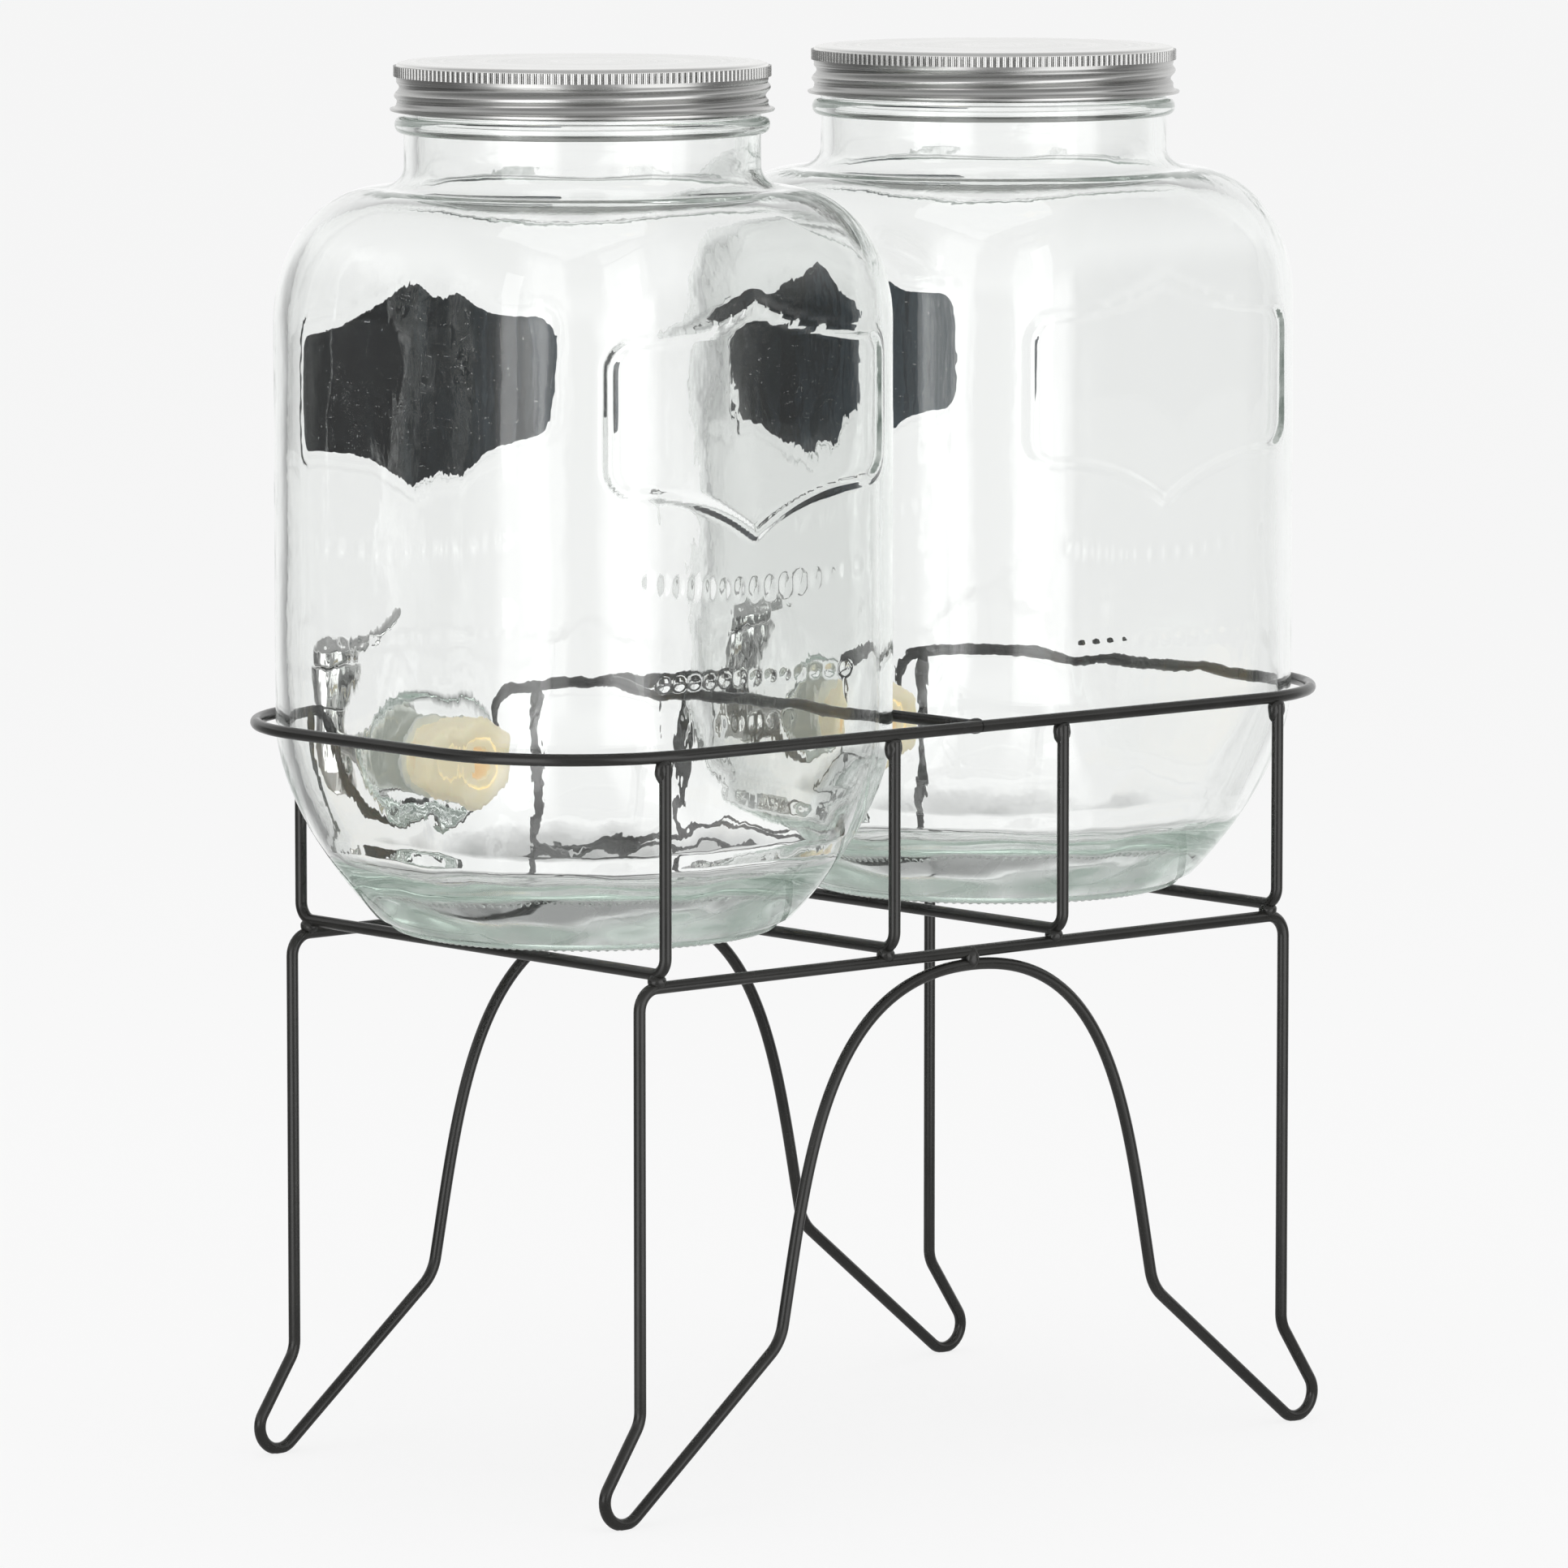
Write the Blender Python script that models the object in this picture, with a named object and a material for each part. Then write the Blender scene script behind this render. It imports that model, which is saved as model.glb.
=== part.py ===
"""Double beverage dispenser: two square glass jars with screw lids and taps in one wire stand.

Metres, +Z up. The taps face -Y, and the jars stand side by side along X. The origin is on
the surface that the stand's feet rest on, under the middle of the whole object.
"""
import math

import bmesh
import bpy
from mathutils import Vector

# Clearances
TOUCH_GAP = 0.0003            # between pieces that touch
JAR_GAP = 0.008               # between the two jars, where the divider bar runs
RING_CLEARANCE = 0.0052       # between a jar's front or rear side and the hoop round it
END_CLEARANCE = 0.0036        # between a jar's outer side and the hoop's end
THREAD_CLEARANCE = 0.00115    # between a lid's rolled thread and the jar's thread
VALVE_CLEARANCE = 0.0004      # between the tap's plug and its chamber
BORE_CLEARANCE = 0.0003       # between the tap's shank and what it passes through
WELD_DISTANCE = 0.00001       # points nearer than this are one point

# Wire stand
WIRE = 0.0036
RAIL_HEIGHT = 0.1578          # centre of the side frames' straight top rails
RING_RISE = 0.0617            # from the jars' seat up to the centre of the hoops
CRADLE_OUT = 0.0404           # from a jar's axis out to its outer cradle wire
CRADLE_IN = 0.0483            # from a jar's axis in to its inner cradle wire
CRADLE_BEND = 0.0052
LEG_OUT = 0.0066              # from the outer cradle wire out to the leg
RAIL_BEND = 0.0065
KINK_HEIGHT = 0.031           # where a leg turns outwards to its foot
KINK_BEND = 0.010
FOOT_OUT = 0.0063             # from the leg out to the middle of the foot loop
FOOT_BEND = 0.0072
FOOT_FLAT = 0.0004            # depth of the flat that wear leaves under each foot
KNEE_OUT = 0.075              # from the middle to the knee under the arch
KNEE_HEIGHT = 0.0484
KNEE_BEND = 0.014
ARCH_LEAN = math.radians(12.0)
ARCH_LOW_PULL = 0.0503        # Bezier handle at the knee
ARCH_TOP_PULL = 0.0599        # Bezier handle at the crown
DIP_HALF_WIDTH = 0.0275       # the hoop's dip under each tap
DIP_DROP = 0.0189             # from the tap's shank axis down to the middle of the dip
DIP_TOP_BEND = 0.010
DIP_LOW_BEND = 0.022

# Glass jar, heights above its base
JAR_WIDTH = 0.156
JAR_CORNER = 0.044
WALL = 0.004
BASE_THICKNESS = 0.009
BASE_RADIUS = 0.058
BASE_EDGE = 0.0025            # height and width of the round under the base's rim
BEARING_WIDTH = 0.008         # the ring that the jar stands on
PUNT_DEPTH = 0.0015
HEEL_HEIGHT = 0.062
HEEL_FACE_POWER = 3.0         # the heel's curve at the middle of a flat side
HEEL_CORNER_POWER = 1.8       # and at a corner, where it is slacker
SHOULDER_TOP = 0.2212
SHOULDER_RISE = 0.0402        # from the straight body up to the shoulder's top
SHOULDER_START = SHOULDER_TOP - SHOULDER_RISE
SHOULDER_END_SHARE = 0.2      # spread that is left where the shoulder turns up into the neck
NECK_FILLET_SHARE = 0.05      # spread that is left in the fillet under the neck
NECK_FILLET = 0.0065          # rise of the fillet between shoulder and neck
NECK_START = SHOULDER_TOP + NECK_FILLET
NECK_LENGTH = 0.0289          # from there up to the rim
JAR_HEIGHT = NECK_START + NECK_LENGTH
NECK_RADIUS = 0.0529
BEAD_PROUD = 0.0027           # how far the bead under the lid stands out from the neck
BEAD_RADIUS = NECK_RADIUS + BEAD_PROUD
BEAD_RISE = 0.0096            # from the neck's start up to the bead
BEAD_LOW = NECK_START + BEAD_RISE
BEAD_HEIGHT = 0.0050
BEAD_EDGE = 0.0011
THREAD_PROUD = 0.0004         # from the neck out to the middle of the thread's wave
THREAD_RADIUS = NECK_RADIUS + THREAD_PROUD
THREAD_DEPTH = 0.00075        # from the middle of the wave to its crest
THREAD_PITCH = 0.00508
THREAD_RISE = 0.0168          # from the neck's start up to the thread
THREAD_START = NECK_START + THREAD_RISE
THREAD_HEIGHT = 0.0080
RIM_EDGE = 0.0008
BOSS_RADIUS = 0.018
BOSS_RISE = 0.0025
PAD_PROUD = 0.00043           # from the heel's inner face behind the washer in to its flat pad
HEEL_SHARES = (0.0, 0.13, 0.33, 0.6, 1.0)             # levels of the heel's rings
INNER_HEEL_SHARES = (0.0, 0.25, 0.55, 1.0)
SHOULDER_SHARES = (0.0, 0.45, 0.72, 0.9, 0.985)       # levels of the shoulder's rings
INNER_SHOULDER_SHARES = (0.0, 0.45, 0.72, 0.92)

# Embossed shield on the front and rear of each jar
SHIELD_DROP = 0.023           # from the shoulder's start down to its middle
SHIELD_HEIGHT = SHOULDER_START - SHIELD_DROP
SHIELD_HALF_WIDTH = 0.054
SHIELD_SIDE = 0.0215          # from its middle up to the end of its straight side and corner
SHIELD_TIP = 0.0375           # from its middle up to its tip
SHIELD_CORNER = 0.010
SHIELD_CURVE_SHARES = (0.37, 0.24)   # bend point of the top edge, as shares of its run and rise
TIP_INSET_SHARE = 1.15        # how much further the tip moves than the sides do in an inset
RIB_WIDTH = 0.0034
RIB_RISE = 0.0012
RIB_ROOT = 0.001              # how deep the rib's solid reaches into the wall
PANEL_THICKNESS = 0.0005

# Lid, a spun aluminium screw cap, heights measured down from its top
LID_METAL = 0.0005
LID_PROUD = 0.003             # from the jar's neck out to the knurled band
LID_RADIUS = NECK_RADIUS + LID_PROUD
LID_EDGE_RUN = 0.004          # from the knurled band in to the top's flat
LID_TOP_FLAT = LID_RADIUS - LID_EDGE_RUN
LID_EDGE_ROUND = 0.0014
KNURL_TOP = 0.0012
KNURL_HEIGHT = 0.0031
LID_NECK_DROP = 0.0012        # from the knurl down to the waist
LID_SKIRT = 0.0145            # whole height of the lid
LIP_PROUD = 0.001             # from the knurled band out to the lip
LIP_RADIUS = LID_RADIUS + LIP_PROUD
LIP_HEIGHT = 0.0007
LIP_FLARE = 0.0016
LINER_THICKNESS = 0.0007
LINER_INSET = 0.0009
LID_FADE_SHARES = (0.25, 0.4) # run over which the rolled thread grows, and over which it fades

# Tap
TAP_HEIGHT = 0.0436           # shank axis above the jar's base
TAP_REACH = 0.042             # from the boss out to the valve's upright axis
SHANK_RADIUS = 0.008
SHANK_END = 0.026             # from the boss face in to the end of the shank
BORE_RADIUS = 0.0048
BORE_FLAT_SHARE = 0.6         # the D-shaped bore's flat, as a share of its radius
FLANGE_RADIUS = 0.015
FLANGE_THICKNESS = 0.003
FLANGE_NECK = 0.0066
WASHER_THICKNESS = 0.002
WASHER_RADIUS = 0.0148
BARREL_RADIUS = 0.008
BARREL_TOP = 0.0235           # heights from the shank's axis
BARREL_SHOULDER = 0.0145
BARREL_COLLAR_RADIUS = 0.0066
BARREL_LOW = 0.0125           # below the shank's axis
SPOUT_LOW = 0.0195
SPOUT_RADIUS = 0.0064
SPOUT_WALL = 0.0022
CHAMBER_RADIUS = 0.0054
CHAMBER_LOW = 0.0085
PORT_RADIUS = 0.0034
STEM_RADIUS = 0.0032
STEM_LENGTH = 0.0068          # above the plug
SEAL_HEIGHT = 0.013
SEAL_RADIUS = 0.0007
SEAL_GROOVE = 0.0016          # depth of the seal's groove
CAP_RADIUS = 0.0087
CAP_TOP = 0.0268
CAP_EDGE = 0.0006
HUB_RADIUS = 0.0076
HUB_HEIGHT = 0.0066
HUB_DOME = 0.0014
LEVER_LENGTH = 0.0305
LEVER_RISE = 0.0125
LEVER_WIDTH = 0.0088
LEVER_THICKNESS = 0.0032
LEVER_REACH_SHARES = (0.1, 0.35, 0.6, 0.93, 1.0)      # places of the arm's sections
LEVER_WIDTH_SHARES = (0.8, 0.66, 0.9, 0.95, 0.5)
LEVER_RISE_SHARES = (0.12, 0.25, 0.5, 0.93, 1.0)
NUT_ACROSS = 0.027
NUT_HEX_LENGTH = 0.0080
NUT_HUB_RADIUS = 0.0122
NUT_LENGTH = 0.0145
NUT_CHAMFER = 0.0012

# Facets
WIRE_SIDES_RESOLUTION = 2     # a curve bevel of eight sides
CORNER_STEPS = 8              # facets in each corner of a jar
ROUND_STEPS = 4 * CORNER_STEPS
SMALL_STEPS = 20
PORT_STEPS = 16
LEVER_SIDES = 10
THREAD_ROWS = 6
BEND_STEPS = 3                # facets of a small bend of a wire
HOOP_STEPS = 7                # facets of a hoop's corner
DIP_STEPS = 5                 # facets of a bend at the bottom of a hoop's dip
SHIELD_CORNER_STEPS = 3
SHIELD_CURVE_STEPS = 4
FACET_TURN = 0.5              # turn of the jar's and lever's rings, in facets
SHARP_ANGLE = math.radians(35.0)
LOOP_STEPS = 6                # facets of a foot's round end and of a seal's section
ARCH_STEPS = 11
OVERRUN = 0.002               # how far a cutter runs past what it cuts

# Levels and places that follow from the sizes
WIRE_RADIUS = WIRE / 2
DIP_DEPTH = RING_RISE - TAP_HEIGHT + DIP_DROP
CRADLE_LEVEL = RAIL_HEIGHT + WIRE + TOUCH_GAP
SEAT_LEVEL = CRADLE_LEVEL + WIRE_RADIUS + TOUCH_GAP
RING_LEVEL = SEAT_LEVEL + RING_RISE
JAR_HALF = JAR_WIDTH / 2
JAR_DIAGONAL = math.sqrt(2.0) * (JAR_HALF - JAR_CORNER) + JAR_CORNER
JAR_X = JAR_HALF + JAR_GAP / 2
RING_Y = JAR_HALF + RING_CLEARANCE + WIRE_RADIUS
RING_END = JAR_X + JAR_HALF + END_CLEARANCE + WIRE_RADIUS
RING_CORNER = JAR_CORNER + RING_Y - JAR_HALF
FRAME_Y = RING_Y - WIRE - TOUCH_GAP
LEG_X = JAR_X + CRADLE_OUT + LEG_OUT
CROWN_HEIGHT = RAIL_HEIGHT - WIRE - TOUCH_GAP
BOSS_FACE = JAR_HALF + BOSS_RISE
HEEL_LEFT = (1 - (TAP_HEIGHT - WASHER_RADIUS) / HEEL_HEIGHT) ** HEEL_FACE_POWER
PAD_DEPTH = (JAR_HALF - BASE_RADIUS) * HEEL_LEFT + WALL + PAD_PROUD   # from the flat side in
PAD_FACE = JAR_HALF - PAD_DEPTH
VALVE_Y = BOSS_FACE + TAP_REACH
LID_UNDERSIDE = JAR_HEIGHT + LINER_THICKNESS + 2 * TOUCH_GAP
LID_TOP = LID_UNDERSIDE + LID_METAL
PLUG_TOP = BARREL_TOP
FRONT_REACH = VALVE_Y + CAP_RADIUS
REAR_REACH = RING_Y + WIRE_RADIUS
ORIGIN_SHIFT = (FRONT_REACH - REAR_REACH) / 2


def clear_scene():
    """Remove whatever the open file holds."""
    for thing in list(bpy.data.objects):
        bpy.data.objects.remove(thing, do_unlink=True)


def finish(name, colour, roughness, metallic=0.0, transmission=0.0):
    """A Principled material."""
    material = bpy.data.materials.new(name)
    material.use_nodes = True
    shader = material.node_tree.nodes["Principled BSDF"]
    shader.inputs["Base Color"].default_value = (*colour, 1.0)
    shader.inputs["Roughness"].default_value = roughness
    shader.inputs["Metallic"].default_value = metallic
    shader.inputs["Transmission Weight"].default_value = transmission
    return material


def make_finishes():
    """Every material of the object."""
    return {
        "wire": finish("black_coating", (0.028, 0.027, 0.026), 0.38),
        "glass": finish("clear_glass", (0.90, 0.95, 0.93), 0.02, transmission=1.0),
        "chalk": finish("chalkboard", (0.035, 0.042, 0.050), 0.62),
        "lid": finish("satin_aluminium", (0.78, 0.78, 0.77), 0.28, metallic=1.0),
        "liner": finish("white_liner", (0.86, 0.86, 0.84), 0.55),
        "chrome": finish("bright_chrome", (0.80, 0.80, 0.79), 0.08, metallic=1.0),
        "nut": finish("natural_plastic", (0.86, 0.78, 0.58), 0.45),
        "seal": finish("grey_silicone", (0.52, 0.54, 0.50), 0.60),
        "plug": finish("white_plastic", (0.84, 0.84, 0.82), 0.40),
    }


def add_empty(name, location, parent=None):
    """A named frame of reference for the pieces that hang on it."""
    empty = bpy.data.objects.new(name, None)
    empty.location = location
    empty.parent = parent
    bpy.context.collection.objects.link(empty)
    return empty


def add_object(name, mesh, material, parent, location=(0.0, 0.0, 0.0)):
    """An object with one material, shaded smooth except at its sharp edges."""
    thing = bpy.data.objects.new(name, mesh)
    mesh.materials.clear()
    mesh.materials.append(material)
    mesh.shade_smooth()
    mesh.set_sharp_from_angle(angle=SHARP_ANGLE)
    thing.location = location
    thing.parent = parent
    bpy.context.collection.objects.link(thing)
    return thing


def add_cutter(name, mesh, material, parent):
    """A guide solid for a Boolean, which isn't part of the object."""
    guide = add_object(name, mesh, material, parent)
    guide.hide_render = True
    guide.display_type = "WIRE"
    return guide


def add_boolean(target, guide, operation):
    """Join, cut or keep the common part of two solids."""
    modifier = target.modifiers.new(operation.lower() + "_" + guide.name, "BOOLEAN")
    modifier.operation = operation
    modifier.object = guide


def loft(name, rings, ring_shaped=False):
    """A closed mesh through rings of equal count, capped, or joined end to end if ring-shaped."""
    mesh_data = bmesh.new()
    rows = [[mesh_data.verts.new(point) for point in ring] for ring in rings]
    pairs = list(zip(rows, rows[1:]))
    if ring_shaped:
        pairs.append((rows[-1], rows[0]))
    else:
        mesh_data.faces.new(rows[0])
        mesh_data.faces.new(rows[-1])
    for low, high in pairs:
        count = len(low)
        for step in range(count):
            following = (step + 1) % count
            mesh_data.faces.new((low[step], low[following], high[following], high[step]))
    bmesh.ops.recalc_face_normals(mesh_data, faces=mesh_data.faces)
    mesh = bpy.data.meshes.new(name)
    mesh_data.to_mesh(mesh)
    mesh_data.free()
    return mesh


def circle(radius, level, steps=SMALL_STEPS):
    """A level circle of points."""
    angles = [math.tau * step / steps for step in range(steps)]
    return [Vector((radius * math.cos(a), radius * math.sin(a), level)) for a in angles]


def turned(name, profile, steps=SMALL_STEPS, ring_shaped=False):
    """A solid of revolution about Z from (radius, height) pairs."""
    return loft(name, [circle(radius, level, steps) for radius, level in profile], ring_shaped)


def turned_along_y(name, profile, level=0.0, steps=SMALL_STEPS, ring_shaped=False):
    """A solid of revolution about a line along Y from (radius, y) pairs."""
    rings = []
    for radius, depth in profile:
        ring = [Vector((point.x, depth, level + point.y)) for point in circle(radius, 0.0, steps)]
        rings.append(ring)
    return loft(name, rings, ring_shaped)


def wire_mesh(name, points, cyclic=False):
    """A round wire along points, made from a bevelled curve."""
    curve = bpy.data.curves.new(name + "_line", "CURVE")
    curve.dimensions = "3D"
    curve.bevel_depth = WIRE_RADIUS
    curve.bevel_resolution = WIRE_SIDES_RESOLUTION
    curve.use_fill_caps = True
    spline = curve.splines.new("POLY")
    spline.points.add(len(points) - 1)
    for spot, point in zip(spline.points, points):
        spot.co = (*point, 1.0)
    spline.use_cyclic_u = cyclic
    guide = bpy.data.objects.new(name + "_line", curve)
    bpy.context.collection.objects.link(guide)
    evaluated = guide.evaluated_get(bpy.context.evaluated_depsgraph_get())
    mesh = bpy.data.meshes.new_from_object(evaluated)
    mesh.name = name
    bpy.data.objects.remove(guide, do_unlink=True)
    return closed_mesh(mesh)


def closed_mesh(mesh):
    """Weld a swept mesh's seams and point its faces outwards."""
    mesh_data = bmesh.new()
    mesh_data.from_mesh(mesh)
    bmesh.ops.remove_doubles(mesh_data, verts=mesh_data.verts, dist=WELD_DISTANCE)
    bmesh.ops.recalc_face_normals(mesh_data, faces=mesh_data.faces)
    mesh_data.to_mesh(mesh)
    mesh_data.free()
    return mesh


def bend(before, corner, after, radius, steps):
    """Points of a round bend of a wire at a corner."""
    inwards = (before - corner).normalized()
    onwards = (after - corner).normalized()
    half_angle = inwards.angle(onwards) / 2
    centre = corner + (inwards + onwards).normalized() * (radius / math.sin(half_angle))
    start = corner + inwards * (radius / math.tan(half_angle)) - centre
    end = corner + onwards * (radius / math.tan(half_angle)) - centre
    sweep = start.angle(end)
    points = []
    for step in range(steps + 1):
        share = step / steps
        weight_start = math.sin((1 - share) * sweep) / math.sin(sweep)
        weight_end = math.sin(share * sweep) / math.sin(sweep)
        points.append(centre + start * weight_start + end * weight_end)
    return points


def bent_path(corners, radii, steps=BEND_STEPS):
    """A path whose inner corners are rounded by the given radii."""
    points = [corners[0]]
    for index, radius in enumerate(radii, start=1):
        points += bend(corners[index - 1], corners[index], corners[index + 1], radius, steps)
    points.append(corners[-1])
    return points


def tangent_angle(centre, radius, point, side):
    """Angle on a circle where a straight wire from a point touches it."""
    to_point = point - centre
    opening = math.acos(radius / to_point.length)
    return math.atan2(to_point.y, to_point.x) + side * opening


def foot_loop():
    """The foot's round end as (x, z) points, from the leg's side to the arch's side."""
    centre = Vector((LEG_X + FOOT_OUT, FOOT_BEND + WIRE_RADIUS - FOOT_FLAT))
    first = tangent_angle(centre, FOOT_BEND, Vector((LEG_X, KINK_HEIGHT)), -1)
    last = tangent_angle(centre, FOOT_BEND, Vector((KNEE_OUT, KNEE_HEIGHT)), 1)
    last -= math.tau * math.ceil((last - first) / math.tau)
    angles = [first + (last - first) * step / LOOP_STEPS for step in range(LOOP_STEPS + 1)]
    return [centre + FOOT_BEND * Vector((math.cos(a), math.sin(a))) for a in angles]


def arch_points():
    """The arch from its knee to its crown as (x, z) points on a Bezier curve."""
    knee = Vector((KNEE_OUT, KNEE_HEIGHT))
    crown = Vector((0.0, CROWN_HEIGHT))
    low_handle = knee + ARCH_LOW_PULL * Vector((-math.sin(ARCH_LEAN), math.cos(ARCH_LEAN)))
    top_handle = crown + Vector((ARCH_TOP_PULL, 0.0))
    points = []
    for step in range(1, ARCH_STEPS + 1):
        t = step / ARCH_STEPS
        rest = 1 - t
        spot = knee * rest**3 + low_handle * (3 * rest * rest * t)
        points.append(spot + top_handle * (3 * rest * t * t) + crown * t**3)
    return points


def half_frame():
    """One half of a side frame's closed line, from the rail's middle round to the crown."""
    foot = foot_loop()
    arch = arch_points()
    middle = Vector((0.0, RAIL_HEIGHT))
    corner = Vector((LEG_X, RAIL_HEIGHT))
    kink = Vector((LEG_X, KINK_HEIGHT))
    knee = Vector((KNEE_OUT, KNEE_HEIGHT))
    points = bent_path([middle, corner, kink, foot[0]], [RAIL_BEND, KINK_BEND])[:-1]
    points += foot
    points += bend(foot[-1], knee, arch[0], KNEE_BEND, BEND_STEPS)
    return points + arch[1:]


def cut_flat(mesh):
    """Cut the wire flat where it stands on the floor."""
    mesh_data = bmesh.new()
    mesh_data.from_mesh(mesh)
    geometry = mesh_data.verts[:] + mesh_data.edges[:] + mesh_data.faces[:]
    cut = bmesh.ops.bisect_plane(mesh_data, geom=geometry, plane_co=(0.0, 0.0, 0.0),
                                 plane_no=(0.0, 0.0, 1.0), clear_inner=True)
    edges = [item for item in cut["geom_cut"] if isinstance(item, bmesh.types.BMEdge)]
    bmesh.ops.edgeloop_fill(mesh_data, edges=edges)
    bmesh.ops.recalc_face_normals(mesh_data, faces=mesh_data.faces)
    mesh_data.to_mesh(mesh)
    mesh_data.free()


def add_side_frame(name, side, parent, material):
    """One closed wire: top rail, legs, foot loops and the arch between them."""
    half = half_frame()
    mirrored = [Vector((-point.x, point.y)) for point in reversed(half[1:-1])]
    line = [Vector((point.x, 0.0, point.y)) for point in half + mirrored]
    mesh = wire_mesh(name, line, cyclic=True)
    cut_flat(mesh)
    add_object(name, mesh, material, parent, location=(0.0, side * FRAME_Y, 0.0))


def add_cradle(name, x, parent, material):
    """A U of wire that lies across the side rails and rises to the hoop on both sides."""
    top = RING_LEVEL - WIRE - TOUCH_GAP - CRADLE_LEVEL + WIRE_RADIUS
    corners = [Vector((0.0, -RING_Y, top)), Vector((0.0, -RING_Y, 0.0)),
               Vector((0.0, RING_Y, 0.0)), Vector((0.0, RING_Y, top))]
    mesh = wire_mesh(name, bent_path(corners, [CRADLE_BEND, CRADLE_BEND]))
    add_object(name, mesh, material, parent, location=(x, 0.0, CRADLE_LEVEL))


def hoop_corners(side):
    """Corners and bend radii of a hoop, from the rear middle round a jar to the front middle."""
    start = side * TOUCH_GAP / 2
    tap = side * JAR_X
    inner = tap - side * DIP_HALF_WIDTH
    outer = tap + side * DIP_HALF_WIDTH
    corners = [Vector((start, RING_Y, 0.0)), Vector((side * RING_END, RING_Y, 0.0)),
               Vector((side * RING_END, -RING_Y, 0.0)),
               Vector((outer, -RING_Y, 0.0)), Vector((outer, -RING_Y, -DIP_DEPTH)),
               Vector((inner, -RING_Y, -DIP_DEPTH)), Vector((inner, -RING_Y, 0.0)),
               Vector((start, -RING_Y, 0.0))]
    radii = [RING_CORNER, RING_CORNER, DIP_TOP_BEND, DIP_LOW_BEND, DIP_LOW_BEND, DIP_TOP_BEND]
    return corners, radii


def add_hoop(name, side, parent, material):
    """Half of the top ring: round one jar, with a dip under its tap."""
    corners, radii = hoop_corners(side)
    steps = [HOOP_STEPS, HOOP_STEPS, BEND_STEPS, DIP_STEPS, DIP_STEPS, BEND_STEPS]
    points = [corners[0]]
    for index, radius in enumerate(radii, start=1):
        before, corner, after = corners[index - 1:index + 2]
        points += bend(before, corner, after, radius, steps[index - 1])
    points.append(corners[-1])
    mesh = wire_mesh(name, points)
    add_object(name, mesh, material, parent, location=(0.0, 0.0, RING_LEVEL))


def add_divider(name, parent, material):
    """The straight bar between the jars, butted against the hoops."""
    reach = RING_Y - WIRE_RADIUS - TOUCH_GAP
    mesh = wire_mesh(name, [Vector((0.0, -reach, 0.0)), Vector((0.0, reach, 0.0))])
    add_object(name, mesh, material, parent, location=(0.0, 0.0, RING_LEVEL))


def add_stand(parent, finishes):
    """The welded wire stand."""
    wire = finishes["wire"]
    add_side_frame("side_frame_front", -1, parent, wire)
    add_side_frame("side_frame_rear", 1, parent, wire)
    places = [JAR_X + CRADLE_OUT, JAR_X - CRADLE_IN, CRADLE_IN - JAR_X, -JAR_X - CRADLE_OUT]
    for number, x in enumerate(places, start=1):
        add_cradle(f"cradle_wire_{number}", x, parent, wire)
    add_hoop("top_hoop_right", 1, parent, wire)
    add_hoop("top_hoop_left", -1, parent, wire)
    add_divider("divider_bar", parent, wire)


def square_ring(half, corner, level):
    """A level square of points with round corners, a circle where half equals corner."""
    points = []
    for quarter in range(4):
        turn = quarter * math.pi / 2
        middle = Vector((half - corner, half - corner))
        for step in range(CORNER_STEPS):
            angle = math.pi / 2 * (step + FACET_TURN) / CORNER_STEPS
            x = middle.x + corner * math.cos(angle)
            y = middle.y + corner * math.sin(angle)
            points.append(Vector((x * math.cos(turn) - y * math.sin(turn),
                                  x * math.sin(turn) + y * math.cos(turn), level)))
    return points


def blended_ring(radius, face_share, corner_share, level, inset=0.0):
    """A ring between a circle (shares 0) and the jar's full square (shares 1)."""
    half = radius + (JAR_HALF - radius) * face_share
    diagonal = radius + (JAR_DIAGONAL - radius) * corner_share
    corner = min(half, (math.sqrt(2.0) * half - diagonal) / (math.sqrt(2.0) - 1))
    return square_ring(half - inset, corner - inset, level)


def heel_share(level, power):
    """How far the heel has spread from the round base to the square body."""
    return 1 - max(0.0, 1 - level / HEEL_HEIGHT) ** power


def shoulder_share(level):
    """How far the shoulder still spreads from the neck, on a quarter of an ellipse."""
    climb = (level - SHOULDER_START) / (SHOULDER_TOP - SHOULDER_START)
    return SHOULDER_END_SHARE + (1 - SHOULDER_END_SHARE) * math.sqrt(max(0.0, 1 - climb * climb))


def body_ring(level, inset):
    """The jar's ring at a level between its base and its neck."""
    if level > SHOULDER_START:
        return blended_ring(NECK_RADIUS, shoulder_share(level), shoulder_share(level), level, inset)
    return blended_ring(BASE_RADIUS, heel_share(level, HEEL_FACE_POWER),
                        heel_share(level, HEEL_CORNER_POWER), level, inset)


def heel_rings(inset, floor, shares):
    """Rings of the heel from the floor's level up to the body."""
    return [body_ring(floor + (HEEL_HEIGHT - floor) * share, inset) for share in shares]


def shoulder_levels(shares):
    """Levels of the shoulder from the body up to the neck."""
    return [SHOULDER_START + (SHOULDER_TOP - SHOULDER_START) * share for share in shares]


def shoulder_rings(inset, shares):
    """Rings of the shoulder from the body up to the neck."""
    return [blended_ring(NECK_RADIUS, shoulder_share(level), shoulder_share(level), level, inset)
            for level in shoulder_levels(shares)]


def thread_wave(angle, level):
    """The thread's right-handed wave, 1 at its crest and -1 at its root."""
    return math.cos(math.tau * level / THREAD_PITCH - angle)


def wave_ring(radius, level, fade, steps, turn=0.0):
    """A level ring whose radius follows the thread's wave, faded towards the thread's ends."""
    points = []
    for step in range(steps):
        angle = math.tau * (step + turn) / steps
        reach = radius + THREAD_DEPTH * fade * thread_wave(angle, level)
        points.append(Vector((reach * math.cos(angle), reach * math.sin(angle), level)))
    return points


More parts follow.
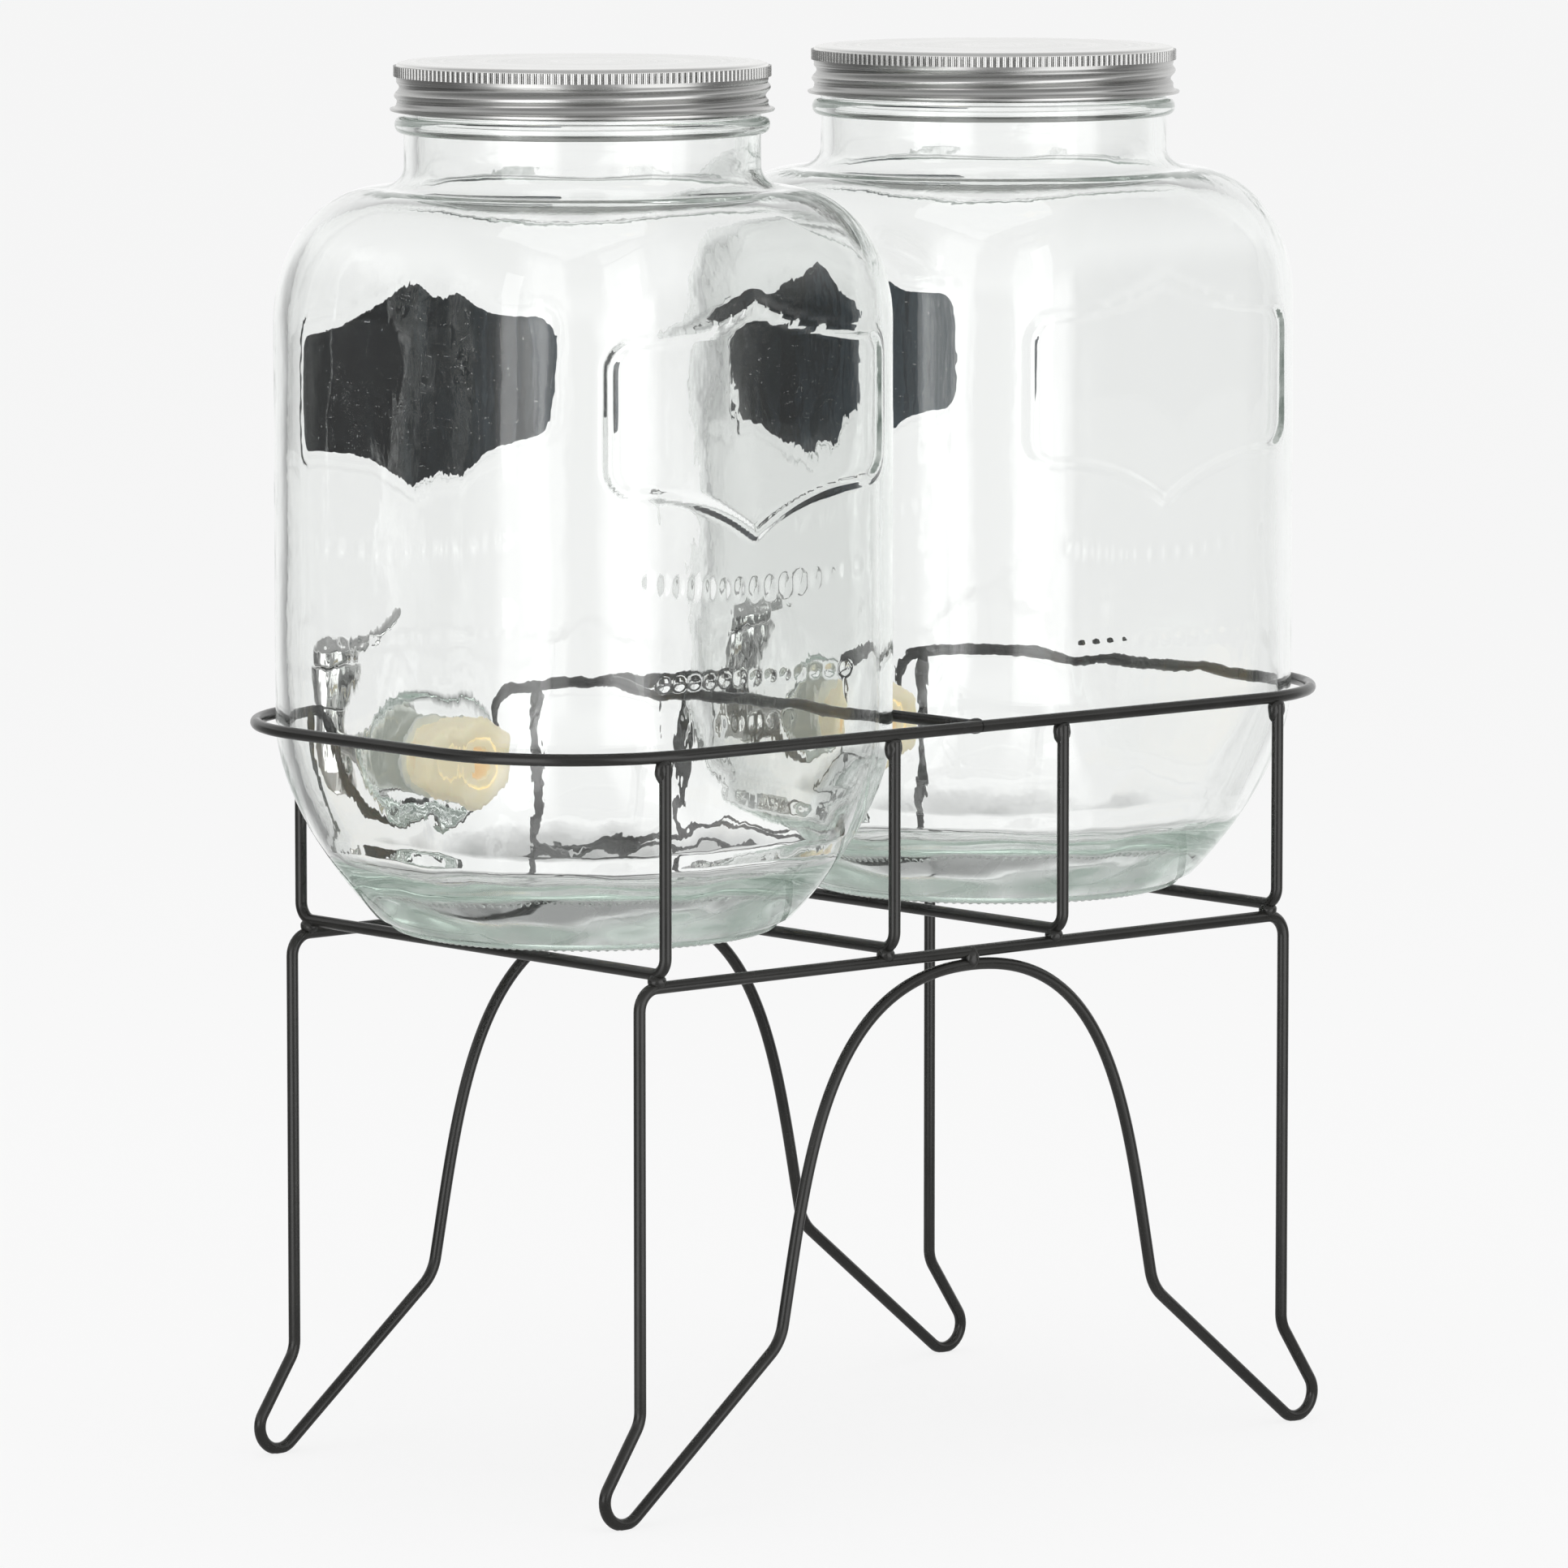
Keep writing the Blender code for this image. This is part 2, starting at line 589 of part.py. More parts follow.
def thread_levels():
    """Levels across the jar's thread and how strong the thread is at each."""
    shares = [step / (THREAD_ROWS - 1) for step in range(THREAD_ROWS)]
    levels = [THREAD_START + THREAD_HEIGHT * share for share in shares]
    fades = [math.sqrt(math.sin(math.pi * share)) if 0 < share < 1 else 0.0 for share in shares]
    return list(zip(levels, fades))


def jar_outside():
    """The jar's outer rings from its punt up to the rim."""
    bearing = BASE_RADIUS - BASE_EDGE
    inner = bearing - BEARING_WIDTH
    rings = [square_ring(inner - PUNT_DEPTH * 2, inner - PUNT_DEPTH * 2, PUNT_DEPTH),
             square_ring(inner, inner, 0.0), square_ring(bearing, bearing, 0.0)]
    rings += heel_rings(0.0, BASE_EDGE, HEEL_SHARES)
    rings += shoulder_rings(0.0, SHOULDER_SHARES)
    fillet = (NECK_START - SHOULDER_TOP) / 3
    rings.append(blended_ring(NECK_RADIUS, NECK_FILLET_SHARE, NECK_FILLET_SHARE, SHOULDER_TOP + fillet))
    rings.append(square_ring(NECK_RADIUS, NECK_RADIUS, NECK_START))
    rings += bead_rings()
    rings += [wave_ring(THREAD_RADIUS, level, fade, ROUND_STEPS, FACET_TURN)
              for level, fade in thread_levels()]
    edge = JAR_HEIGHT - RIM_EDGE
    rings.append(square_ring(NECK_RADIUS, NECK_RADIUS, edge))
    rings.append(square_ring(NECK_RADIUS - RIM_EDGE, NECK_RADIUS - RIM_EDGE, JAR_HEIGHT))
    return rings


def bead_rings():
    """The round bead under the lid."""
    top = BEAD_LOW + BEAD_HEIGHT
    shape = [(NECK_RADIUS, BEAD_LOW), (BEAD_RADIUS, BEAD_LOW + BEAD_EDGE),
             (BEAD_RADIUS, top - BEAD_EDGE), (NECK_RADIUS, top)]
    return [square_ring(radius, radius, level) for radius, level in shape]


def jar_inside():
    """The jar's inner rings from the rim down to the floor."""
    mouth = NECK_RADIUS - WALL
    rings = [square_ring(mouth + RIM_EDGE, mouth + RIM_EDGE, JAR_HEIGHT),
             square_ring(mouth, mouth, JAR_HEIGHT - RIM_EDGE), square_ring(mouth, mouth, NECK_START)]
    rings += reversed(shoulder_rings(WALL, INNER_SHOULDER_SHARES))
    rings += reversed(heel_rings(WALL, BASE_THICKNESS, INNER_HEEL_SHARES))
    return rings


def shield_outline(inset):
    """The shield as (x, z) points round its middle, drawn in by an inset."""
    half_width = SHIELD_HALF_WIDTH - inset
    side = SHIELD_SIDE - inset
    tip = SHIELD_TIP - inset * TIP_INSET_SHARE
    corner = SHIELD_CORNER - inset
    quarter = []
    for step in range(SHIELD_CORNER_STEPS + 1):
        angle = math.pi / 2 * step / SHIELD_CORNER_STEPS
        quarter.append(Vector((half_width - corner + corner * math.cos(angle),
                               side - corner + corner * math.sin(angle))))
    run, rise = half_width - corner, tip - side
    start = Vector((run, side))
    hinge = Vector((run * SHIELD_CURVE_SHARES[0], side + rise * SHIELD_CURVE_SHARES[1]))
    end = Vector((0.0, tip))
    for step in range(1, SHIELD_CURVE_STEPS + 1):
        t = step / SHIELD_CURVE_STEPS
        quarter.append(start * (1 - t) ** 2 + hinge * (2 * t * (1 - t)) + end * t * t)
    upper = quarter + [Vector((-point.x, point.y)) for point in reversed(quarter[:-1])]
    lower = [Vector((-point.x, -point.y)) for point in upper]
    return upper + lower


def shield_ring(inset, depth):
    """The shield's outline in a plane across Y."""
    return [Vector((point.x, depth, SHIELD_HEIGHT + point.y)) for point in shield_outline(inset)]


def sleeve_levels():
    """Levels of a band that reaches past a shield's tips, with the shoulder's own levels in it."""
    low, high = SHIELD_HEIGHT - SHIELD_TIP - OVERRUN, SHIELD_HEIGHT + SHIELD_TIP + OVERRUN
    levels = [level for level in shoulder_levels(SHOULDER_SHARES) if level > low] + [NECK_START]
    inside = [level for level in levels if level < high]
    return [low] + inside + levels[len(inside):len(inside) + 1]


def sleeve(name, inner, outer):
    """A band round the jar's body between two offsets from its surface."""
    levels = sleeve_levels()
    rings = [body_ring(level, -outer) for level in levels]
    rings += [body_ring(level, -inner) for level in reversed(levels)]
    return loft(name, rings, ring_shaped=True)


def add_shield_rib(name, side, parent, material):
    """The raised rib round a shield, following the jar's surface."""
    near = side * (JAR_HALF - JAR_CORNER / 2)
    far = side * (JAR_HALF + RIB_RISE + OVERRUN)
    rings = [shield_ring(0.0, near), shield_ring(0.0, far),
             shield_ring(RIB_WIDTH, far), shield_ring(RIB_WIDTH, near)]
    rib = add_cutter(name, loft(name, rings, ring_shaped=True), material, parent)
    band = add_cutter(name + "_band", sleeve(name + "_band", -RIB_ROOT, RIB_RISE), material, parent)
    add_boolean(rib, band, "INTERSECT")
    return rib


def add_chalk_panel(name, parent, material):
    """The chalkboard plate that fills the front shield."""
    inset = RIB_WIDTH + TOUCH_GAP
    near = -(JAR_HALF - JAR_CORNER / 2)
    far = -(JAR_HALF + PANEL_THICKNESS + OVERRUN)
    plate = add_object(name, loft(name, [shield_ring(inset, near), shield_ring(inset, far)]),
                       material, parent)
    band_mesh = sleeve(name + "_band", TOUCH_GAP, TOUCH_GAP + PANEL_THICKNESS)
    add_boolean(plate, add_cutter(name + "_band", band_mesh, material, parent), "INTERSECT")


def add_jar_glass(name, parent, material):
    """The glass jar with its tap boss, tap hole and two shields."""
    jar = add_object(name, loft(name, jar_outside() + jar_inside()), material, parent)
    boss_mesh = turned_along_y(name + "_boss", [(BOSS_RADIUS, -PAD_FACE), (BOSS_RADIUS, -BOSS_FACE)],
                               TAP_HEIGHT)
    add_boolean(jar, add_cutter(name + "_boss", boss_mesh, material, parent), "UNION")
    for word, side in (("front", -1), ("rear", 1)):
        add_boolean(jar, add_shield_rib(f"{name}_{word}_rib", side, parent, material), "UNION")
    hole = SHANK_RADIUS + BORE_CLEARANCE
    hole_mesh = turned_along_y(name + "_hole", [(hole, -BOSS_FACE - OVERRUN),
                                                (hole, OVERRUN - PAD_FACE)], TAP_HEIGHT)
    add_boolean(jar, add_cutter(name + "_hole", hole_mesh, material, parent), "DIFFERENCE")


def lid_wave_levels():
    """Levels of the lid's rolled thread and how strong it is at each."""
    waist = LID_TOP - KNURL_TOP - KNURL_HEIGHT - LID_NECK_DROP
    low = LID_TOP - LID_SKIRT + LIP_HEIGHT + LIP_FLARE
    shares = [step / (THREAD_ROWS - 1) for step in range(THREAD_ROWS)]
    grow, fade = LID_FADE_SHARES
    return [(waist + (low - waist) * share, min(1.0, share / grow, (1 - share) / fade)) for share in shares]


def add_lid_shell(name, parent, material):
    """The screw cap: a spun shell with a plain band for the knurl and a rolled thread."""
    middle = THREAD_RADIUS + THREAD_CLEARANCE
    lip = LID_TOP - LID_SKIRT
    knurl_high = LID_TOP - KNURL_TOP
    knurl_low = knurl_high - KNURL_HEIGHT
    outer = middle + LID_METAL
    top_edge = LID_TOP_FLAT + LID_EDGE_ROUND
    rings = [circle(LID_TOP_FLAT, LID_TOP, ROUND_STEPS),
             circle(top_edge, LID_TOP - LID_METAL / 2, ROUND_STEPS),
             circle(LID_RADIUS, knurl_high, ROUND_STEPS), circle(LID_RADIUS, knurl_low, ROUND_STEPS)]
    waves = lid_wave_levels()
    rings += [wave_ring(outer, level, fade, ROUND_STEPS) for level, fade in waves]
    rings += [circle(LIP_RADIUS, lip + LIP_HEIGHT, ROUND_STEPS), circle(LIP_RADIUS, lip, ROUND_STEPS),
              circle(LIP_RADIUS - LID_METAL, lip, ROUND_STEPS),
              circle(LIP_RADIUS - LID_METAL, lip + LIP_HEIGHT, ROUND_STEPS)]
    rings += [wave_ring(middle, level, fade, ROUND_STEPS) for level, fade in reversed(waves)]
    inner_band = LID_RADIUS - LID_METAL
    rings += [circle(inner_band, knurl_low, ROUND_STEPS), circle(inner_band, knurl_high, ROUND_STEPS),
              circle(LID_TOP_FLAT, LID_UNDERSIDE, ROUND_STEPS)]
    add_object(name, loft(name, rings), material, parent)


def add_lid_liner(name, parent, material):
    """The soft disc that seals the lid on the jar's rim."""
    radius = NECK_RADIUS - LINER_INSET
    low = JAR_HEIGHT + TOUCH_GAP
    shape = [(radius, low), (radius, low + LINER_THICKNESS)]
    add_object(name, turned(name, shape, ROUND_STEPS), material, parent)


def washer_mesh(name, outside):
    """A flat silicone washer, outside the boss or inside the wall, with Y from the jar's axis."""
    near = BOSS_FACE + TOUCH_GAP if outside else PAD_FACE - TOUCH_GAP - WASHER_THICKNESS
    hole = SHANK_RADIUS + BORE_CLEARANCE
    far = near + WASHER_THICKNESS
    shape = [(hole, -near), (WASHER_RADIUS, -near), (WASHER_RADIUS, -far), (hole, -far)]
    return turned_along_y(name, shape, TAP_HEIGHT, ring_shaped=True)


def tap_profile():
    """The tap's shank, flange and neck as (radius, y) from the jar's axis."""
    flange = BOSS_FACE + WASHER_THICKNESS + 2 * TOUCH_GAP
    back = flange + FLANGE_THICKNESS
    return [(SHANK_RADIUS, SHANK_END - BOSS_FACE), (SHANK_RADIUS, -flange), (FLANGE_RADIUS, -flange),
            (FLANGE_RADIUS, -back), (FLANGE_NECK, -back - FLANGE_THICKNESS / 2), (FLANGE_NECK, -VALVE_Y)]


def add_tap_body(name, parent, material):
    """Barrel, spout, flange and shank in one piece, with the valve chamber and the bores."""
    barrel = [(SPOUT_RADIUS, -SPOUT_LOW), (BARREL_RADIUS, -BARREL_LOW), (BARREL_RADIUS, BARREL_SHOULDER),
              (BARREL_COLLAR_RADIUS, BARREL_SHOULDER), (BARREL_COLLAR_RADIUS, BARREL_TOP)]
    mesh = turned(name, barrel)
    body = add_object(name, mesh, material, parent)
    shank_mesh = turned_along_y(name + "_shank", [(r, y + VALVE_Y) for r, y in tap_profile()])
    add_boolean(body, add_cutter(name + "_shank", shank_mesh, material, parent), "UNION")
    chamber = [(SPOUT_RADIUS - SPOUT_WALL, -SPOUT_LOW - OVERRUN), (SPOUT_RADIUS - SPOUT_WALL, -CHAMBER_LOW),
               (CHAMBER_RADIUS, -CHAMBER_LOW), (CHAMBER_RADIUS, BARREL_TOP + OVERRUN)]
    chamber_mesh = turned(name + "_chamber", chamber)
    add_boolean(body, add_cutter(name + "_chamber", chamber_mesh, material, parent), "DIFFERENCE")
    add_boolean(body, add_cutter(name + "_bore", bore_mesh(name + "_bore"), material, parent), "DIFFERENCE")


def bore_mesh(name):
    """The D-shaped bore through the shank, with Y from the valve's axis."""
    reach = VALVE_Y - BOSS_FACE + SHANK_END + OVERRUN
    outline = [Vector((min(p.x, BORE_RADIUS * BORE_FLAT_SHARE), p.y)) for p in circle(BORE_RADIUS, 0.0)]
    outline = [p for i, p in enumerate(outline) if (p - outline[i - 1]).length > TOUCH_GAP]
    return loft(name, [[Vector((p.x, y, p.y)) for p in outline] for y in (0.0, reach)])


def add_tap_plug(name, parent, material):
    """The turning plug: an L-shaped port, a seal groove and a stem for the lever."""
    radius = CHAMBER_RADIUS - VALVE_CLEARANCE
    low = -CHAMBER_LOW + TOUCH_GAP
    groove = radius - SEAL_GROOVE
    half_groove = SEAL_RADIUS + TOUCH_GAP
    shape = [(radius, low), (radius, SEAL_HEIGHT - half_groove), (groove, SEAL_HEIGHT - half_groove),
             (groove, SEAL_HEIGHT + half_groove), (radius, SEAL_HEIGHT + half_groove), (radius, PLUG_TOP),
             (STEM_RADIUS, PLUG_TOP), (STEM_RADIUS, PLUG_TOP + STEM_LENGTH)]
    plug = add_object(name, turned(name, shape), material, parent)
    down_shape = [(PORT_RADIUS, low - OVERRUN), (PORT_RADIUS, PORT_RADIUS / 2)]
    down = turned(name + "_down", down_shape, PORT_STEPS)
    add_boolean(plug, add_cutter(name + "_down", down, material, parent), "DIFFERENCE")
    side_shape = [(PORT_RADIUS, 0.0), (PORT_RADIUS, radius + OVERRUN)]
    side = turned_along_y(name + "_side", side_shape, steps=PORT_STEPS)
    cross = add_cutter(name + "_side", side, material, parent)
    cross.rotation_euler.z = -math.pi / 2
    add_boolean(plug, cross, "DIFFERENCE")


def add_plug_seal(name, parent, material):
    """The O-ring in the plug's groove."""
    plug_radius = CHAMBER_RADIUS - VALVE_CLEARANCE
    middle = plug_radius - SEAL_GROOVE + TOUCH_GAP + SEAL_RADIUS
    angles = [math.tau * step / LOOP_STEPS for step in range(LOOP_STEPS)]
    shape = [(middle + SEAL_RADIUS * math.cos(a), SEAL_HEIGHT + SEAL_RADIUS * math.sin(a)) for a in angles]
    add_object(name, turned(name, shape, ring_shaped=True), material, parent)


def add_tap_cap(name, parent, material):
    """The ring nut that holds the plug down in the barrel."""
    skirt_low = BARREL_SHOULDER + TOUCH_GAP
    inner_top = BARREL_TOP + TOUCH_GAP
    skirt = BARREL_COLLAR_RADIUS + BORE_CLEARANCE
    hole = STEM_RADIUS + VALVE_CLEARANCE
    shape = [(skirt, skirt_low), (CAP_RADIUS, skirt_low), (CAP_RADIUS, CAP_TOP - CAP_EDGE),
             (CAP_RADIUS - CAP_EDGE, CAP_TOP), (hole, CAP_TOP), (hole, inner_top), (skirt, inner_top)]
    add_object(name, turned(name, shape, ring_shaped=True), material, parent)


def lever_section(reach, level, half_width, half_thickness):
    """An oval section of the lever's arm, across X, at a reach from the valve's axis."""
    points = []
    for step in range(LEVER_SIDES):
        angle = math.tau * (step + FACET_TURN) / LEVER_SIDES
        height = level + half_thickness * math.sin(angle)
        points.append(Vector((-reach, half_width * math.cos(angle), height)))
    return points


def add_tap_lever(name, parent, material):
    """The lever: a hub on the plug's stem and an arm that rises to a flat paddle."""
    low = CAP_TOP + TOUCH_GAP
    top = low + HUB_HEIGHT
    hub = [(HUB_RADIUS, low), (HUB_RADIUS, top - HUB_DOME), (HUB_RADIUS - 2 * HUB_DOME, top)]
    lever = add_object(name, turned(name, hub), material, parent)
    start = low + LEVER_THICKNESS / 2 + TOUCH_GAP
    half_width, half_thickness = LEVER_WIDTH / 2, LEVER_THICKNESS / 2
    rings = []
    for reach, width, rise in zip(LEVER_REACH_SHARES, LEVER_WIDTH_SHARES, LEVER_RISE_SHARES):
        level = start + LEVER_RISE * rise
        rings.append(lever_section(LEVER_LENGTH * reach, level, half_width * width, half_thickness))
    arm = add_cutter(name + "_arm", loft(name + "_arm", rings), material, parent)
    add_boolean(lever, arm, "UNION")
    socket_top = PLUG_TOP + STEM_LENGTH + TOUCH_GAP
    socket = STEM_RADIUS + BORE_CLEARANCE
    socket_mesh = turned(name + "_socket", [(socket, low - OVERRUN), (socket, socket_top)])
    add_boolean(lever, add_cutter(name + "_socket", socket_mesh, material, parent), "DIFFERENCE")


def nut_ring(radius, depth):
    """A round ring of the nut in a plane across Y."""
    return [Vector((p.x, -depth, TAP_HEIGHT + p.y)) for p in circle(radius, 0.0)]


def hex_ring(across, depth):
    """A hexagon drawn with as many points as the nut's round rings."""
    points = []
    for p in circle(1.0, 0.0):
        angle = math.atan2(p.y, p.x)
        from_flat = (angle + math.pi / 6) % (math.pi / 3) - math.pi / 6
        reach = across / 2 / math.cos(from_flat)
        points.append(Vector((p.x * reach, -depth, TAP_HEIGHT + p.y * reach)))
    return points


def add_tap_nut(name, parent, material):
    """The plastic nut inside the jar: a round hub against the washer and a hexagonal end."""
    start = PAD_FACE - 2 * TOUCH_GAP - WASHER_THICKNESS
    end = start - NUT_LENGTH
    step = end + NUT_HEX_LENGTH
    hole = SHANK_RADIUS + BORE_CLEARANCE
    rings = [nut_ring(hole, start), nut_ring(NUT_HUB_RADIUS, start), nut_ring(NUT_HUB_RADIUS, step),
             hex_ring(NUT_ACROSS, step - NUT_CHAMFER), hex_ring(NUT_ACROSS, end + NUT_CHAMFER),
             hex_ring(NUT_ACROSS - 2 * NUT_CHAMFER, end), nut_ring(hole, end)]
    add_object(name, loft(name, rings, ring_shaped=True), material, parent)


def add_jar(side_name, side, parent, finishes):
    """One jar with its lid and tap."""
    seat = add_empty(f"jar_{side_name}", (side * JAR_X, 0.0, SEAT_LEVEL), parent)
    add_jar_glass(f"jar_glass_{side_name}", seat, finishes["glass"])
    add_chalk_panel(f"chalk_panel_{side_name}", seat, finishes["chalk"])
    add_lid_shell(f"lid_shell_{side_name}", seat, finishes["lid"])
    add_lid_liner(f"lid_liner_{side_name}", seat, finishes["liner"])
    for word, outside in (("outer", True), ("inner", False)):
        washer = f"tap_{word}_washer_{side_name}"
        add_object(washer, washer_mesh(washer, outside), finishes["seal"], seat)
    add_tap_nut(f"tap_nut_{side_name}", seat, finishes["nut"])
    valve = add_empty(f"valve_{side_name}", (0.0, -VALVE_Y, TAP_HEIGHT), seat)
    add_tap_body(f"tap_body_{side_name}", valve, finishes["chrome"])
    add_tap_plug(f"tap_plug_{side_name}", valve, finishes["plug"])
    add_plug_seal(f"plug_seal_{side_name}", valve, finishes["seal"])
    add_tap_cap(f"tap_cap_{side_name}", valve, finishes["chrome"])
    add_tap_lever(f"tap_lever_{side_name}", valve, finishes["chrome"])


def build():
    """The whole dispenser."""
    clear_scene()
    finishes = make_finishes()
    dispenser = add_empty("dispenser", (0.0, ORIGIN_SHIFT, 0.0))
    add_stand(dispenser, finishes)
    add_jar("right", 1, dispenser, finishes)
    add_jar("left", -1, dispenser, finishes)


build()
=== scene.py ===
"""Finished pieces of a double beverage dispenser: two square glass jars in a wire stand.

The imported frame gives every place, and this file gives every surface. Each group of pieces has
its settings, its materials and its operator. All lengths are in metres, +Z up, taps towards -Y.
"""
import math
from types import SimpleNamespace

import bmesh
import bpy
import numpy as np
from bpy.props import FloatProperty, FloatVectorProperty, IntProperty, PointerProperty
from mathutils import Matrix, Vector


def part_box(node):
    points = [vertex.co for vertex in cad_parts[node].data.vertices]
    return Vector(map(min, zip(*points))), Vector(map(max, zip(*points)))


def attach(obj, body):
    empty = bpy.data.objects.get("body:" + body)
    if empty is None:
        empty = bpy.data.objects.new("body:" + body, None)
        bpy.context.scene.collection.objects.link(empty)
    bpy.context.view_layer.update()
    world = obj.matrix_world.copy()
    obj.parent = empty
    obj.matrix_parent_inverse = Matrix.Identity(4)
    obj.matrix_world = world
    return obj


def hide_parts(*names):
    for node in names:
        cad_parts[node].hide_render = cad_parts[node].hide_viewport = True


bl_info = {
    "name": "Double Beverage Dispenser",
    "version": (1, 0, 0),
    "blender": (4, 5, 0),
    "location": "View3D > Sidebar > Dispenser",
    "description": "Builds the finished pieces of a double beverage dispenser on its packed frame",
    "category": "Object",
}

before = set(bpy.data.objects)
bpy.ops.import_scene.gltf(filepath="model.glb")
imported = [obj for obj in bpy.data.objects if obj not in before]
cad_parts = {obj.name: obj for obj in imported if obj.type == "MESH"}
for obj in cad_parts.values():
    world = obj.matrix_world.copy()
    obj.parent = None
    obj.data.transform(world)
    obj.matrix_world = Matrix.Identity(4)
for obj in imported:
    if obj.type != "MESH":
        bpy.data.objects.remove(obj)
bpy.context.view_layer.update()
SIDES = ("right", "left")
TURN = math.tau
TOUCH_GAP = 0.0003
POLE = 0.0005


# Places read from the frame

def corners_of(node):
    """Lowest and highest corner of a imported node."""
    low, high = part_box(node)
    return Vector(low), Vector(high)


def middle_of(node):
    """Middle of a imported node's box."""
    low, high = corners_of(node)
    return (low + high) / 2


def jar_place(side):
    """The middle of a jar's base: its lid's axis at the level that the jar stands on."""
    axis = middle_of(f"lid_shell_{side}")
    return Vector((axis.x, axis.y, corners_of(f"jar_glass_{side}")[0].z))


def valve_place(side):
    """Where a tap's upright axis crosses its shank's axis."""
    axis = middle_of(f"tap_cap_{side}")
    return Vector((axis.x, axis.y, middle_of(f"tap_outer_washer_{side}").z))


# Settings

def properties(**rows):
    """Blender properties from (default, description, unit); a number without a unit is a length."""
    made = {}
    for key, (value, description, *unit) in rows.items():
        facts = {"name": key.replace("_", " ").capitalize(), "description": description, "default": value}
        if isinstance(value, tuple):
            made[key] = FloatVectorProperty(size=3, subtype="COLOR", min=0.0, max=1.0, **facts)
        elif isinstance(value, int):
            made[key] = IntProperty(min=1, **facts)
        else:
            made[key] = FloatProperty(unit=unit[0] if unit else "LENGTH", precision=5, **facts)
    return made


class StandSettings(bpy.types.PropertyGroup):
    """Sizes and colour of the welded wire stand."""
    __annotations__ = properties(
        wire=(0.0036, "Diameter of every wire"),
        leg_out=(0.0066, "From the outer cradle wire out to the leg"),
        rail_bend=(0.0065, "Bend between a rail and a leg"),
        kink_height=(0.031, "Where a leg turns outwards to its foot"),
        kink_bend=(0.010, "Bend of the leg there"),
        foot_out=(0.0063, "From the leg out to the middle of the foot loop"),
        foot_bend=(0.0072, "Radius of the foot loop"),
        foot_flat=(0.0004, "Depth worn off under each foot"),
        knee_out=(0.075, "From the middle to the knee under the arch"),
        knee_height=(0.0484, "Height of that knee"),
        knee_bend=(0.014, "Bend of the wire at the knee"),
        arch_lean=(math.radians(12.0), "Lean of the arch above the knee", "ROTATION"),
        arch_low_pull=(0.0503, "Curve handle at the knee"),
        arch_top_pull=(0.0599, "Curve handle at the crown"),
        cradle_bend=(0.0052, "Bend of a cradle wire at its corners"),
        dip_half_width=(0.0275, "Half width of the hoop's dip under a tap"),
        dip_depth=(0.037, "Depth of that dip"),
        dip_top_bend=(0.010, "Bend at the top of the dip"),
        dip_low_bend=(0.022, "Bend at the bottom of the dip"),
        hoop_corner=(0.051, "Bend of the hoop round a jar's corner"),
        wire_sides=(18, "Facets round a wire"),
        bend_steps=(10, "Facets along a bend"),
        weld_seed=(7, "Which uneven shapes the welds take"),
        coating=((0.0160, 0.0158, 0.0142), "Colour of the black coating"),
    )


class JarSettings(bpy.types.PropertyGroup):
    """Sizes and tint of a glass jar, heights above its base."""
    __annotations__ = properties(
        half=(0.078, "Half the width across the flat sides"),
        corner=(0.044, "Radius of an upright corner"),
        height=(0.2566, "Height of the rim"),
        wall=(0.004, "Thickness of the wall"),
        floor=(0.009, "Thickness of the base"),
        bowl=(0.030, "Height where the dished floor meets the wall"),
        base_radius=(0.058, "Radius of the round base"),
        base_edge=(0.0025, "Rounding under the base's rim"),
        bearing=(0.008, "Width of the ring that the jar stands on"),
        punt=(0.0015, "Rise of the hollow under the base"),
        heel_height=(0.062, "Height at which the body is at its full width"),
        shoulder_start=(0.181, "Height where the shoulder begins"),
        shoulder_top=(0.2212, "Height where the shoulder meets the neck's fillet"),
        fillet_share=(0.2, "Part of the shoulder's spread that the neck's fillet takes", "NONE"),
        neck_start=(0.2277, "Height where the neck is upright"),
        neck_radius=(0.0529, "Outer radius of the neck"),
        bead_radius=(0.0556, "Radius of the bead under the lid"),
        bead_low=(0.2373, "Underside of the bead"),
        bead_height=(0.0050, "Depth of the bead"),
        thread_radius=(0.0533, "Middle of the thread's wave"),
        thread_depth=(0.00075, "From the middle of the wave to its crest"),
        thread_pitch=(0.00508, "Rise of the thread in one turn"),
        thread_start=(0.2445, "Lowest level of the thread"),
        thread_height=(0.0080, "Height that the thread covers"),
        boss_radius=(0.018, "Flat boss round the tap hole"),
        boss_rise=(0.0025, "How far the boss stands out"),
        boss_blend=(0.0042, "Run of the slope round the boss"),
        pad_depth=(0.0075, "From the flat side in to the pad inside the tap hole"),
        hole_radius=(0.0083, "Radius of the tap hole"),
        wave=(0.00027, "Unevenness of the inner surface"),
        skin_wave=(0.00009, "Unevenness of the outer surface"),
        label_height=(0.158, "Middle of the chalkboard label"),
        shield_height=(0.1592, "Middle of the embossed shield"),
        shield_half_width=(0.054, "Half its width"),
        shield_side=(0.0241, "From its middle up to the end of its side and corner"),
        shield_top=(0.0343, "From its middle up to its upper tip"),
        shield_foot=(0.0380, "From its middle down to its lower tip"),
        label_side=(0.0177, "From the label's middle up to the end of its side"),
        label_tip=(0.0318, "From the label's middle up to its tip"),
        shield_corner=(0.010, "Radius of its corners"),
        rib_width=(0.0042, "Width of the raised rib"),
        rib_rise=(0.0009, "Height of the raised rib"),
        stipples=(132, "Small studs under the bearing ring"),
        tint=((0.990, 0.994, 0.990), "Colour of the glass surface"),
        chalk=((0.010, 0.0145, 0.0185), "Colour of the chalkboard label"),
    )


